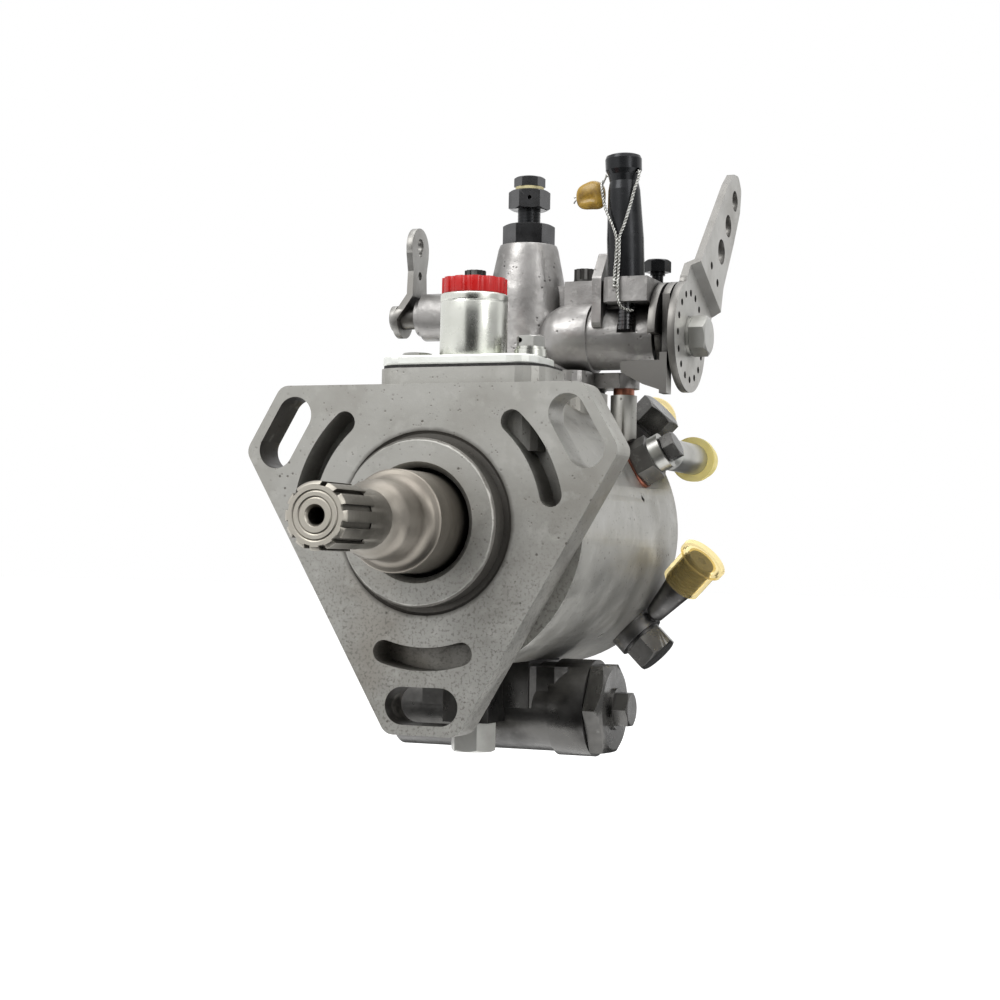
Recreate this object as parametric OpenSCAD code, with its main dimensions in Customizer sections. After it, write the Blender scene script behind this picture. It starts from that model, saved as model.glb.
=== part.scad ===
// Rotary distributor fuel injection pump with a hydraulic governor and a transverse advance unit.
// The origin is on the shaft axis at the front face of the flange. +X is right seen from the drive end,
// +Y runs to the rear and +Z is up. All sizes are in millimetres.

/* [Flange] */
// Diameter of the circle through the outer slots
slot_pcd = 100; // [98:0.5:103]
// Thickness of the flange
flange_t = 11; // [9:0.5:12]
// Distance from the axis to each long side
flange_side = 38.2; // [37.5:0.1:40]
// Distance from the axis to each cut corner
flange_tip = 58; // [57.5:0.5:61]
// Width of an outer slot
slot_w = 10.4; // [9:0.1:11]
// Length of an outer slot
slot_l = 21.6; // [18:0.2:23]
// Radius of the middle of the arc slots
arc_r = 37.2; // [36:0.1:38]
// Width of the arc slots
arc_w = 6.4; // [5:0.1:7]
// Half angle of an arc slot in degrees
arc_half = 18; // [14:1:20]
// Diameter of the locating spigot
spigot_d = 46; // [44:0.5:50]
// Height of the spigot
spigot_h = 6; // [4:0.5:8]

/* [Body] */
// Outside diameter of the body
body_d = 84; // [83:0.5:86]
// Distance from the flange face to the rear rim
body_l = 103; // [102:0.5:106]
// Wall of the body round the hydraulic head
body_wall = 8.5; // [7.5:0.5:9.5]
// Height of the boss for the top plate above the body
boss_rise = 1.2; // [1:0.1:3]

/* [Drive shaft] */
// Distance from the flange face to the tip of the shaft
nose_l = 66.4; // [64:0.2:70]
// Outside diameter of the splines
spline_d = 17; // [16.4:0.1:18]
// Length of the splined end
spline_l = 16.4; // [14:0.2:18]
// Number of spline positions, one of which is left wide
spline_n = 12; // [10:1:14]
// Diameter of the neck behind the splines
neck_d = 15.5; // [15:0.1:16]
// Diameter of the shoulder behind the neck
shoulder_d = 21; // [19:0.5:22]
// Diameter of the collar that runs in the spigot
collar_d = 27.6; // [26:0.1:28]
// Diameter of the journal in the bush
journal_d = 22; // [20:0.5:23]
// Diameter of the centre hole in the tip
centre_d = 4.4; // [3:0.1:5.5]

/* [Pumping unit] */
// Diameter of the distributor rotor
rotor_d = 18; // [17:0.5:19]
// Diameter of the rotor head that holds the plungers
rotor_head_d = 31; // [30:0.5:32]
// Thickness of the cam ring behind its hollows
cam_wall = 5.7; // [5.3:0.1:6.1]
// Diameter of a roller
roller_d = 9; // [8:0.5:9.5]
// Lift of the cam lobes
cam_lift = 4; // [3:0.5:5]
// Width of the cam ring along the shaft
cam_w = 14; // [13:0.5:15]

/* [Advance unit] */
// Outside diameter of the advance housing
advance_d = 26; // [25:0.5:28]
// Diameter of the advance piston
piston_d = 17; // [16:0.5:18]
// Length of the advance piston
piston_l = 26; // [24:1:28]
// Width across flats of the large cap nut
cap_nut_af = 25; // [23:0.5:27]

/* [Outlets] */
// Distance from the rear rim to the outlet bolts
outlet_back = 7.5; // [7:0.5:9]
// Diameter of the outlet bolt shanks
outlet_d = 10; // [9:0.5:11]
// Width across flats of the outlet bolt heads
outlet_af = 12.5; // [12:0.5:14]
// Length of an outlet stub from its bolt
stub_l = 33; // [31:0.5:34]
// Angle of the head locking screw above horizontal in degrees
lock_angle = 28; // [26:1:30]

/* [Top plate] */
// Length of the top plate
plate_l = 49; // [47:0.5:51]
// Width of the top plate
plate_w = 25; // [24:0.5:26]
// Thickness of the top plate
plate_t = 2.7; // [2.5:0.1:4]
// Outside diameter of the adapter tube
tube_d = 19; // [18:0.2:20]
// Height of the adapter tube above the plate
tube_h = 18; // [16:0.5:22]

/* [Governor] */
// Distance from the flange face to the tower axis
tower_y = 76; // [75.5:0.5:76.5]
// Height of the tower above the body
tower_h = 45.6; // [44:0.1:48]
// Diameter of the top of the tower
tower_top_d = 17.6; // [17:0.2:19]
// Width across flats of the gland nut
gland_af = 14; // [13:0.5:15]
// Diameter of the stem above the gland nut
stem_d = 7; // [6:0.5:7.5]

/* [Levers] */
// Height of the throttle shaft above the body
throttle_h = 15.8; // [15.4:0.1:16.4]
// Diameter of the throttle shaft
throttle_d = 8; // [7.5:0.5:8.5]
// Diameter of the throttle lever disc
disc_d = 33.4; // [32:0.2:34]
// Diameter of the outer hole of the throttle lever
lever_hole_d = 6.5; // [6:0.1:7]
// Length of the throttle lever from shaft to outer hole
lever_l = 61.3; // [58:0.1:64]
// Height of the stop shaft above the body
stop_h = 23.7; // [23.4:0.1:24.4]
// Diameter of the stop shaft
stop_d = 7; // [6:0.5:7.5]
// Length of the stop lever above its shaft
stop_lever_l = 28.2; // [26:0.1:31]

/* [Screws] */
// Height of the maximum speed screw's cap
cap_h = 36.9; // [35:0.1:40]
// Diameter of the foot of the cap
cap_d = 11; // [10:0.2:11.4]

/* [Hidden] */
round_fn = 64;
run = 0.04;
seat = 0.03;
gap = 0.3;
gasket_t = 0.8;
washer_t = 1;

// Body and its bores
body_r = body_d / 2;
head_r = body_r - body_wall;
spot_r = body_r - 0.7;
relief_w = 2.3;
relief_t = 0.7;
body_marks = [[13, 67.9, 60], [-49, 69.9, -30]];
collar_run = 1.2;
bore_r = collar_d / 2 + collar_run;
bush_r = journal_d / 2 + 2;
bush_y = flange_t + 1;
bush_end = 32;
chamber_y = 33.5;
head_y = 62;
head_end = body_l - gap;
boss_top = body_r + boss_rise;
boss_x = 6;
boss_y = 18;
deck_top = body_r + 0.1;
foot_top = deck_top - 1.2;
fitting_y = body_l - 17;
tower_top = deck_top + tower_h;
throttle_z = deck_top + throttle_h;
stop_z = deck_top + stop_h;
stop_top = stop_z + stop_lever_l;
deck_x = 24;
deck_y0 = 59;
deck_y1 = 88;
valve_bore_r = 8;
pad_z = -(body_r - 3.5);

// Advance unit
advance_y = 52;
advance_gasket_t = 0.5;
advance_r = advance_d / 2;
advance_z = pad_z - advance_gasket_t - advance_r;
advance_x0 = -27;
advance_x1 = 22.4;
advance_x2 = 33.2;
advance_bore_r = piston_d / 2 + run;
pocket_x = 5;
ball_r = 3.5;
stem_r = 2.2;
advance_travel = 6;
cap_nut_h = 5.2;
lug_x = 2.2;
lug_y = 33;
advance_y0 = lug_y - 6.5;
advance_y1 = advance_y + 12;
spring_x0 = pocket_x + advance_travel + 0.2;
spring_x1 = advance_x2 + 1.4;

spline_gap = 1.6;

// Pumping unit along the shaft
plate_y = 37.5;
plate_end = 43;
rotor_y = plate_end + gap / 3;
rotor_head_end = head_y - gap;
roller_y0 = 48;
roller_y1 = 58;
plunger_d = 7;
cam_y0 = 46.5;
cam_out = head_r - 0.5 - run;
cam_crest = cam_out - cam_wall - cam_lift;
roller_reach = cam_crest - 0.35;
roller_c = roller_reach - roller_d / 2;
transfer_y = body_l - 7;
liner_r = 17;
transfer_r = 8.6;
transfer_bore = 11;
transfer_off = 1.9;
end_screw_r = head_r - 7;

// Outlets
outlet_angles = [45, 135, 225, 315];
stub_turns = [75, 0, 0, -15];
outlet_y = body_l - outlet_back;
port_y = outlet_y - 3;
eye_t = 4;
eye_r0 = spot_r + washer_t;
eye_r1 = eye_r0 + eye_t;
stub_c = (eye_r0 + eye_r1) / 2;
bolt_washer_t = 0.9;
bolt_head_h = 7;
lock_y = 74;
lock_d = 8;
lock_af = 12.5;
lock_head_r = spot_r + washer_t;
lock_head_h = 6;
bleed_r0 = lock_head_r + lock_head_h;
bleed_t = 3.6;
bleed_end = 112;
bleed_tube_r = 4.85;
bolt_end = head_r - 9.5;
lock_end = head_r - 5.5;

// Top plate
plate_z = boss_top + gasket_t;
plate_top = plate_z + plate_t;
plate_screw_x = 17.2;
plate_cut = 2.8;
washer_top = plate_top + 2.9;
tube_top = plate_top + tube_h;
tube_wall = 2;
tube_bore_r = tube_d / 2 - tube_wall;

// Governor and levers
gov_z = deck_top + gasket_t;
module_g = 0.6;
pinion_n = 10;
pinion_r = module_g * pinion_n / 2;
rack_off = 2;
lever_y = tower_y - rack_off - pinion_r;
boss_r = 9.6;
boss_end = 44.6;
stop_end = -33.9;
screw_x = 18.2;
screw_y = tower_y + 1.4;
lug_top = deck_top + 33.5;
screw_l = lug_top - deck_top + 6;
rack_z0 = throttle_z - 6.9;
rack_z1 = throttle_z + 5.6;
collar_z = stop_z + 8.7;
shelf_z0 = throttle_z + 9;
shelf_z1 = shelf_z0 + 7.3;
cap_x = 36.8;
cap_y = lever_y - 10;
cap_lean = 2.4;
idle_x = 39.7;
idle_y = lever_y + 12;
stop_plate_t = 2.2;
plate1_x = 45.4;
plate2_x = 48.6;
disc_x = 51.6;
disc_t = 2.2;
arm_shift = 2.7;
nut_af = 10.6;
foot_x = 31.8;
foot_r = 4;
view_turn = 20.8;
stem_nut_z = tower_top + 11.2;
stem_nut_h = 6.1;
vent_z = stem_nut_z + stem_nut_h + 1.1;
valve_z = deck_top - 1.1;

// A frame whose local Z points outward from the shaft axis at an angle above +X
module radial(a, y, r) translate([0, y, 0]) rotate([0, 90 - a, 0]) translate([0, 0, r]) children();

// Round bars along each axis
module rod_x(r, x0, x1, y = 0, z = 0)
    translate([x0, y, z]) rotate([0, 90, 0]) cylinder(r = r, h = x1 - x0, $fn = round_fn);
module rod_y(r, y0, y1, x = 0, z = 0)
    translate([x, y0, z]) rotate([-90, 0, 0]) cylinder(r = r, h = y1 - y0, $fn = round_fn);
module rod_z(r, z0, z1, x = 0, y = 0)
    translate([x, y, z0]) cylinder(r = r, h = z1 - z0, $fn = round_fn);
module tube_z(r1, r0, z0, z1, x = 0, y = 0) difference() {
    rod_z(r1, z0, z1, x, y);
    rod_z(r0, z0 - 1, z1 + 1, x, y);
}

// Turned forms, given as radius and height pairs
module lathe_z(pts) rotate_extrude($fn = round_fn) polygon(pts);
module lathe_y(pts) rotate([-90, 0, 0]) lathe_z(pts);
module lathe_x(pts) rotate([0, 90, 0]) lathe_z(pts);

// Flat plates in the XZ plane and in the YZ plane
module xz_plate(y0, t) translate([0, y0 + t, 0]) rotate([90, 0, 0]) linear_extrude(t) children();
module yz_plate(x0, t) translate([x0, 0, 0]) rotate([90, 0, 90]) linear_extrude(t) children();

// A box given by its corners
module block(a, b) translate(a) cube(b - a);

// A hexagon prism with its outer corners turned off
module hex(af, h, top = 0.7) intersection() {
    cylinder(d = af / cos(30), h = h, $fn = 6);
    lathe_z([[0, 0], [af * 0.6, 0], [af * 0.6, h - top], [af * 0.47, h], [0, h]]);
}

// Outlines with rounded corners
function unit(v) = v / norm(v);
function corner_arc(a, b, c, r, n) =
    let (u = unit(a - b), v = unit(c - b), half = acos(u * v) / 2,
        m = b + unit(u + v) * r / sin(half), s = b + u * r / tan(half), e = b + v * r / tan(half),
        a0 = atan2(s[1] - m[1], s[0] - m[0]), a1 = atan2(e[1] - m[1], e[0] - m[0]),
        sweep = (a1 - a0 + 900) % 360 - 180)
    [for (i = [0:n]) m + r * [cos(a0 + sweep * i / n), sin(a0 + sweep * i / n)]];
function rounded(pts, r, n = 5) = [for (i = [0:len(pts) - 1])
    each corner_arc(pts[(i + len(pts) - 1) % len(pts)], pts[i], pts[(i + 1) % len(pts)], r, n)];
function rect(x0, y0, x1, y1) = [[x0, y0], [x1, y0], [x1, y1], [x0, y1]];
module round_rect(l, w, r) polygon(rounded(rect(-l / 2, -w / 2, l / 2, w / 2), r));

// Slots
module slot(l, w) {
    square([l - w, w], center = true);
    for (s = [-1, 1]) translate([s * (l - w) / 2, 0]) circle(d = w, $fn = round_fn);
}
function arc_points(r, a0, a1, n) = [for (i = [0:n]) let (a = a0 + (a1 - a0) * i / n) r * [cos(a), sin(a)]];
function end_points(r, w, half, turn) = [for (i = [1:9])
    r * [cos(half), sin(half)] + w / 2 * [cos(turn + 18 * i), sin(turn + 18 * i)]];
module arc_slot(r, w, half) polygon(concat(
    arc_points(r + w / 2, -half, half, 14), end_points(r, w, half, half),
    arc_points(r - w / 2, half, -half, 14), end_points(r, w, -half, 180 - half)));

// A tube swept along a list of points
function path_dir(p, i) = unit(p[min(i + 1, len(p) - 1)] - p[max(i - 1, 0)]);
function side_of(d) = unit(cross(d, abs(d[2]) > 0.8 ? [1, 0, 0] : [0, 0, 1]));
module sweep(p, r, sides = 8) {
    n = len(p);
    pts = [for (i = [0:n - 1]) let (d = path_dir(p, i), u = side_of(d), v = cross(d, u))
        for (k = [0:sides - 1]) p[i] + r * (cos(360 * k / sides) * u + sin(360 * k / sides) * v)];
    faces = [[for (k = [0:sides - 1]) sides - 1 - k], [for (k = [0:sides - 1]) (n - 1) * sides + k],
        for (i = [0:n - 2]) for (k = [0:sides - 1]) [i * sides + k, i * sides + (k + 1) % sides,
            (i + 1) * sides + (k + 1) % sides, (i + 1) * sides + k]];
    polyhedron(pts, [for (f = faces) [for (j = [len(f) - 1:-1:0]) f[j]]]);
}

// A round wire spring along local Z
module coil(r, wire, h, turns, steps = 14)
    sweep([for (i = [0:turns * steps]) [r * cos(360 * i / steps), r * sin(360 * i / steps),
        wire + (h - 2 * wire) * i / (turns * steps)]], wire, 6);

// An involute pinion outline and the rack that meshes with it
backlash = 1.4;
rack_play = 0.12;
function polar(r, a) = r * [cos(a), sin(a)];
function involute_deg(a) = tan(a) * 180 / PI - a;
function flank(r, rb, z) = 90 / z - backlash + involute_deg(20) - involute_deg(acos(min(1, rb / r)));
function pinion_points(z, m) =
    let (rp = m * z / 2, rb = rp * cos(20), root = rp - 0.85 * m, tip = rp + 0.66 * m)
    [for (k = [0:z - 1]) let (c = 360 * k / z) each concat(
        [polar(root, c - flank(rb, rb, z))],
        [for (i = [0:4]) let (r = rb + (tip - rb) * i / 4) polar(r, c - flank(r, rb, z))],
        [for (i = [4:-1:0]) let (r = rb + (tip - rb) * i / 4) polar(r, c + flank(r, rb, z))],
        [polar(root, c + flank(rb, rb, z))])];
module rack_gap(m) {
    w = PI * m / 4 + rack_play;
    polygon([[-1, -(w + tan(20) * (1 + 0.2))], [0.75 * m, -(w - tan(20) * 0.75 * m)],
        [0.75 * m, w - tan(20) * 0.75 * m], [-1, w + tan(20) * (1 + 0.2)]]);
}

// The cam ring's inner outline has four equal lobes
function cam_radius(a) = cam_crest + cam_lift * (1 - pow(abs(cos(2 * (a - 45))), 3));
module cam_outline() polygon([for (i = [0:119]) cam_radius(3 * i) * [cos(3 * i), sin(3 * i)]]);

module flange_outline() {
    half = (flange_side - flange_tip / 2) / sin(60);
    polygon(rounded([for (d = [270, 30, 150]) for (s = [-1, 1])
        flange_tip * [cos(d), sin(d)] + s * half * [-sin(d), cos(d)]], 4));
}
module housing_bores() {
    lathe_y([[0, -spigot_h - 1], [bore_r + 2.5, -spigot_h - 1], [bore_r, -spigot_h + 1.5], [bore_r, bush_y],
        [0, bush_y]]);
    rod_y(bush_r, bush_y - 1, chamber_y + 1);
    rod_y(head_r - 0.5, chamber_y, head_y + 1);
    rod_y(head_r, head_y, body_l + 1);
    rod_z(valve_bore_r, head_r - 3, deck_top + 1, 0, tower_y);
    rod_z(tube_bore_r, bush_r + 9, boss_top + 1, boss_x, boss_y);
    for (s = [-1, 1]) {
        rod_z(2.55, boss_top - 10, boss_top + 1, boss_x + s * plate_screw_x, boss_y);
        rod_z(1.8, deck_top - 8, deck_top + 1, s * screw_x, screw_y);
    }
    for (a = outlet_angles) {
        radial(a, outlet_y, head_r - 4) cylinder(r = outlet_d / 2 + seat, h = 20, $fn = round_fn);
        radial(a, outlet_y, spot_r) cylinder(r = 8, h = 9, $fn = round_fn);
    }
    radial(lock_angle, lock_y, head_r - 4) cylinder(r = lock_d / 2 + seat, h = 20, $fn = round_fn);
    radial(lock_angle, lock_y, spot_r) cylinder(r = 7.9, h = 9, $fn = round_fn);
    for (m = body_marks) radial(m[0], m[1], body_r - 0.5) rotate(m[2]) cube([2.6, 1.3, 4], center = true);
    block([-60, advance_y0 - 1, -60], [60, advance_y1 + 2, pad_z]);
    rod_z(2.5 + seat, pad_z - 1, pad_z + 5, lug_x, lug_y);
    translate([2, advance_y, pad_z - 5]) linear_extrude(20) slot(17, 8);
    rod_z(3 + seat, -body_r - 3, -head_r + 5, 0, fitting_y);
}
module main_housing() color("silver") difference() {
    union() {
        difference() {
            xz_plate(0, flange_t) flange_outline();
            xz_plate(-1, flange_t + 2) for (d = [270, 30, 150]) rotate(d)
                translate([slot_pcd / 2, 0]) rotate(90) slot(slot_l, slot_w);
            xz_plate(-1, flange_t + 2) for (d = [270, 30, 150]) rotate(d) arc_slot(arc_r, arc_w, arc_half);
            lathe_y([[spigot_d / 2 - 1, -1], [spigot_d / 2 + relief_w, -1],
                [spigot_d / 2 + relief_w, relief_t / 2], [spigot_d / 2 + relief_w - 0.8, relief_t],
                [spigot_d / 2 - 1, relief_t]]);
        }
        lathe_y([[0, 1], [0, -spigot_h], [spigot_d / 2 - 0.8, -spigot_h], [spigot_d / 2, -spigot_h + 0.8],
            [spigot_d / 2, 1]]);
        lathe_y([[0, flange_t], [body_r, flange_t], [body_r, body_l - 1.4], [body_r - 1.4, body_l],
            [0, body_l]]);
        translate([boss_x, boss_y, 20]) linear_extrude(boss_top - 20)
            round_rect(plate_l + 0.8, plate_w + 0.8, 7.4);
        translate([0, (deck_y0 + deck_y1) / 2, 20]) linear_extrude(deck_top - 20)
            round_rect(2 * deck_x, deck_y1 - deck_y0, 5);
        rod_z(foot_r, 20, foot_top, foot_x, tower_y);
        rod_z(7, -body_r - 1.5, -body_r + 8, 0, fitting_y);
    }
    housing_bores();
}
module shaft_seal() color("dimgray") difference() {
    rod_y(bore_r - seat, flange_t - 5.6, flange_t + 0.6);
    rod_y(journal_d / 2 + run, flange_t - 7, flange_t + 2);
    lathe_y([[0, flange_t - 7], [bore_r - 1.4, flange_t - 7], [bore_r - 1.4, flange_t - 2],
        [0, flange_t - 2]]);
}
module shaft_bush() color("peru") difference() {
    rod_y(bush_r - seat, bush_y + gap, bush_end);
    rod_y(journal_d / 2 + run, bush_y - 1, bush_end + 1);
}
module hydraulic_head() color("gray") difference() {
    rod_y(head_r - seat, head_y, head_end);
    rod_y(rotor_d / 2 + run, head_y - 1, transfer_y + 1);
    rod_y(liner_r + seat, transfer_y, head_end + 1);
    rod_z(2.5 + run, rotor_d / 2 + 2, head_r + 1, 0, tower_y);
    for (a = outlet_angles) radial(a, outlet_y, bolt_end - 3)
        cylinder(r = outlet_d / 2 + seat, h = 20, $fn = round_fn);
    for (a = outlet_angles) radial(a, port_y, rotor_d / 2 - 1)
        cylinder(r = 1.2, h = bolt_end - rotor_d / 2 + 1, $fn = round_fn);
    radial(lock_angle, lock_y, lock_end - 1) cylinder(r = lock_d / 2 + seat, h = 20, $fn = round_fn);
    rod_z(3 + seat, -head_r - 1, -head_r + 9.5, 0, fitting_y);
    for (a = outlet_angles)
        rod_y(2.5 + seat, head_end - 12, head_end + 1, end_screw_r * cos(a + 45), end_screw_r * sin(a + 45));
}
module head_locating_fitting() color("dimgray") {
    rod_z(3, -body_r - 2, -head_r + 8.5, 0, fitting_y);
    translate([0, fitting_y, -body_r - 1.5]) mirror([0, 0, 1]) hex(11, 5.5);
}
module transfer_liner() color("darkgray") difference() {
    rod_y(liner_r, transfer_y + 0.1, head_end - 0.1);
    rod_y(transfer_bore, transfer_y - 1, head_end + 1, transfer_off);
}
module end_plate() color("silver") {
    y0 = body_l + gap;
    difference() {
        union() {
            xz_plate(y0, 6) {
                circle(r = head_r - 6.5, $fn = round_fn);
                for (a = outlet_angles) rotate(a + 45) translate([end_screw_r, 0])
                    circle(r = 6, $fn = round_fn);
            }
            lathe_y([[0, y0 + 5], [head_r - 12.3, y0 + 5], [head_r - 13.9, y0 + 11], [0, y0 + 11]]);
            rod_y(10.5, y0 + 5, y0 + 17, 0, -8);
            rod_y(9, y0 + 5, y0 + 14, 0, 12.5);
        }
        rod_y(6 + seat, y0 + 6, y0 + 18, 0, -8);
        rod_y(5 + seat, y0 + 4, y0 + 15, 0, 12.5);
        for (a = outlet_angles)
            rod_y(2.5 + seat, y0 - 1, y0 + 7, end_screw_r * cos(a + 45), end_screw_r * sin(a + 45));
        rotate([-90, 0, 0]) translate([0, 0, y0]) rotate_extrude($fn = round_fn)
            translate([19, -1]) square([2.6, 2.3]);
    }
}
module end_plate_oring() color("black")
    rotate([-90, 0, 0]) translate([0, 0, body_l + 0.75]) rotate_extrude($fn = round_fn)
        translate([20.3, 0]) circle(r = 0.8, $fn = 24);
module end_plate_screws() color("dimgray") for (a = outlet_angles)
    translate([end_screw_r * cos(a + 45), body_l + gap + 6, end_screw_r * sin(a + 45)]) rotate([-90, 0, 0]) {
        hex(8, 4.6);
        translate([0, 0, -16]) cylinder(r = 2.5, h = 16, $fn = round_fn);
    }
module regulating_valve() color("dimgray") translate([0, body_l + gap + 17, -8]) rotate([-90, 0, 0]) {
    hex(15, 6);
    translate([0, 0, -10.5]) cylinder(r = 6, h = 10.5, $fn = round_fn);
    translate([0, 0, 5.9]) cylinder(r = 4, h = 4, $fn = round_fn);
}
module inlet_union() color("dimgray")
    translate([0, body_l + gap + 14, 12.5]) rotate([-90, 0, 0]) difference() {
        union() {
            hex(14, 6, 0);
            translate([0, 0, -9]) cylinder(r = 5, h = 9, $fn = round_fn);
            translate([0, 0, 6]) cylinder(r = 6, h = 9, $fn = round_fn);
        }
        translate([0, 0, -8]) cylinder(r = 2.6, h = 30, $fn = round_fn);
    }

// Top plate, adapter tube and plug
module boss_holes(z0, z1, r) for (s = [-1, 1]) rod_z(r, z0, z1, boss_x + s * plate_screw_x, boss_y);
module top_gasket() color("black") difference() {
    translate([boss_x, boss_y, boss_top]) linear_extrude(gasket_t)
        round_rect(plate_l - 0.4, plate_w - 0.4, 6.8);
    rod_z(tube_d / 2 - 0.5, boss_top - 1, plate_z + 1, boss_x, boss_y);
    boss_holes(boss_top - 1, plate_z + 1, 2.7);
}
module top_plate() color("lightgray") difference() {
    translate([boss_x - plate_cut / 2, boss_y, plate_z]) linear_extrude(plate_t)
        round_rect(plate_l - plate_cut, plate_w, 7);
    rod_z(tube_d / 2 - 0.5, plate_z - 1, plate_top + 1, boss_x, boss_y);
    boss_holes(plate_z - 1, plate_top + 1, 2.7);
}
module adapter_tube() color("gainsboro") translate([boss_x, boss_y, 0]) difference() {
    lathe_z([[0, boss_top + seat], [tube_d / 2 - 0.5 - seat, boss_top + seat],
        [tube_d / 2 - 0.5 - seat, plate_top], [tube_d / 2, plate_top], [tube_d / 2, tube_top - 2.6],
        [tube_d / 2 - 0.25, tube_top - 2.4], [tube_d / 2, tube_top - 2.2], [tube_d / 2, tube_top - 0.4],
        [tube_d / 2 - 0.4, tube_top], [0, tube_top]]);
    rod_z(tube_bore_r, boss_top - 1, tube_top + 1);
}
module red_plug() color("red") translate([boss_x, boss_y, tube_top]) {
    difference() {
        cylinder(d = tube_d - 0.6, h = 4.4, $fn = round_fn);
        for (a = [0:30:330]) rotate(a + 8) translate([tube_d / 2 + 0.7, 0, -1])
            cylinder(r = 1.7, h = 7, $fn = 24);
        translate([0, 0, 1.2]) cylinder(r = 6.4, h = 5, $fn = round_fn);
    }
    translate([0, 0, -6]) cylinder(r = tube_bore_r - seat, h = 6.1, $fn = round_fn);
}
module plate_screws() color("dimgray") {
    translate([boss_x + plate_screw_x, boss_y, washer_top]) {
        difference() {
            hex(7.2, 3, 0.5);
            translate([0, 0, 1.6]) rotate([90, 0, -30]) cylinder(r = 0.75, h = 12, $fn = 24, center = true);
        }
        translate([0, 0, -12]) cylinder(r = 2.5, h = 12.5, $fn = round_fn);
    }
    translate([boss_x - plate_screw_x, boss_y, plate_top]) {
        hex(8, 1.8, 0.3);
        translate([0, 0, -11]) cylinder(r = 2.5, h = 11.5, $fn = round_fn);
    }
}
module plate_washers() color("lightgray") {
    tube_z(4.6, 2.6, plate_top + 0.02, plate_top + 2.1, boss_x + plate_screw_x, boss_y);
    tube_z(4.1, 2.6, plate_top + 2.2, washer_top - 0.02, boss_x + plate_screw_x, boss_y);
}

// Governor housing
module tower_profile() lathe_z([[0, gov_z], [12.6, gov_z], [12.6, gov_z + 19.1], [12.2, gov_z + 29.1],
    [tower_top_d / 2 + 0.5, tower_top - 1.4], [tower_top_d / 2, tower_top], [0, tower_top]]);
module shelf_outline() polygon([[27, lever_y - 4], [31.2, cap_y + 2], [31.2, cap_y - 4.2],
    [33, cap_y - 5.9], [plate1_x - 0.4, cap_y - 5.9], [plate1_x - 0.4, idle_y + 2],
    [idle_x + 2.5, idle_y + 4], [27, idle_y + 4]]);
module throttle_boss() lathe_x([[0, 6.6], [5, 7.8], [8.3, 10.1], [10.1, 13.4], [10.6, 17], [10.6, 24.2],
    [boss_r, 24.3], [boss_r, boss_end], [0, boss_end]]);
module governor_housing() color("gray") difference() {
    union() {
        translate([0, (deck_y0 + deck_y1) / 2, gov_z]) linear_extrude(4.6)
            round_rect(2 * deck_x, deck_y1 - deck_y0 - 2, 5);
        translate([0, tower_y - 1, gov_z]) linear_extrude(16) round_rect(36, 21, 6);
        translate([0, tower_y, 0]) tower_profile();
        translate([0, lever_y, throttle_z]) throttle_boss();
        rod_x(7.4, stop_end + 2, 0, lever_y, stop_z);
        rod_x(5.8, stop_end, 0, lever_y, stop_z);
        block([screw_x - 4.3, lever_y - 0.1, gov_z + 7.1], [screw_x + 4.7, screw_y + 5, lug_top]);
        block([-screw_x - 4.7, lever_y - 0.1, gov_z + 7.1], [-screw_x + 4.3, screw_y + 5, lug_top + 1]);
        block([-16, tower_y - 3.5, gov_z + 12.1], [16, tower_y + 3.5, lug_top - 1]);
        translate([0, 0, shelf_z0]) linear_extrude(shelf_z1 - shelf_z0) shelf_outline();
        block([27, lever_y - 5, throttle_z], [38, idle_y - 4, shelf_z0 + 1]);
        translate([0, 0, throttle_z]) yz_plate(26.4, 2.9) polygon(rounded([[cap_y - 1, 2.1], [idle_y, 2.1],
            [idle_y, 14.1], [tower_y + 3, 25.1], [lever_y - 5, 25.1], [cap_y - 1, 17.1]], 1.5, 3));
        rod_z(foot_r + 0.7, gov_z, gov_z + 4.6, foot_x, tower_y);
        block([20, tower_y - 5, gov_z], [foot_x, tower_y + 5, gov_z + 4.6]);
    }
    rod_z(valve_bore_r - 0.5, gov_z - 1, tower_top - 10.7, 0, tower_y);
    rod_z(6 + seat, tower_top - 11.7, tower_top + 1, 0, tower_y);
    rod_x(throttle_d / 2 + run, 3, boss_end + 1, lever_y, throttle_z);
    rod_x(stop_d / 2 + run, stop_end - 1, -3, lever_y, stop_z);
    rod_z(1.9, shelf_z0 - 5, shelf_z1 + 3, idle_x, idle_y);
    rod_z(2.25 + seat, shelf_z0 - 1, shelf_z1 + 1, cap_x, cap_y);
    rod_z(3, throttle_z + 0.5, shelf_z0, cap_x, cap_y);
    for (s = [-1, 1]) rod_z(1.8, gov_z - 1, lug_top + 2.4, s * screw_x, screw_y);
    block([-3, lever_y - 3.9, throttle_z - 4], [6, tower_y, throttle_z + 4]);
    block([-6, lever_y - 2, stop_z - 2.2], [0, tower_y, stop_z + 7]);
}
module housing_gaskets() color("dimgray") {
    difference() {
        translate([0, (deck_y0 + deck_y1) / 2, deck_top]) linear_extrude(gasket_t)
            round_rect(2 * deck_x - 1, deck_y1 - deck_y0 - 2, 5);
        rod_z(valve_bore_r, deck_top - 1, gov_z + 1, 0, tower_y);
        for (s = [-1, 1]) rod_z(1.9, deck_top - 1, gov_z + 1, s * screw_x, screw_y);
    }
    difference() {
        union() {
            block([-16, advance_y - 14, pad_z - advance_gasket_t], [17, advance_y1, pad_z]);
            block([lug_x - 7, advance_y0, pad_z - advance_gasket_t], [lug_x + 7, advance_y, pad_z]);
        }
        translate([2, advance_y, pad_z - 3]) linear_extrude(6) slot(17, 8);
        rod_z(2.6, pad_z - 3, pad_z + 3, lug_x, lug_y);
    }
}
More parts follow.
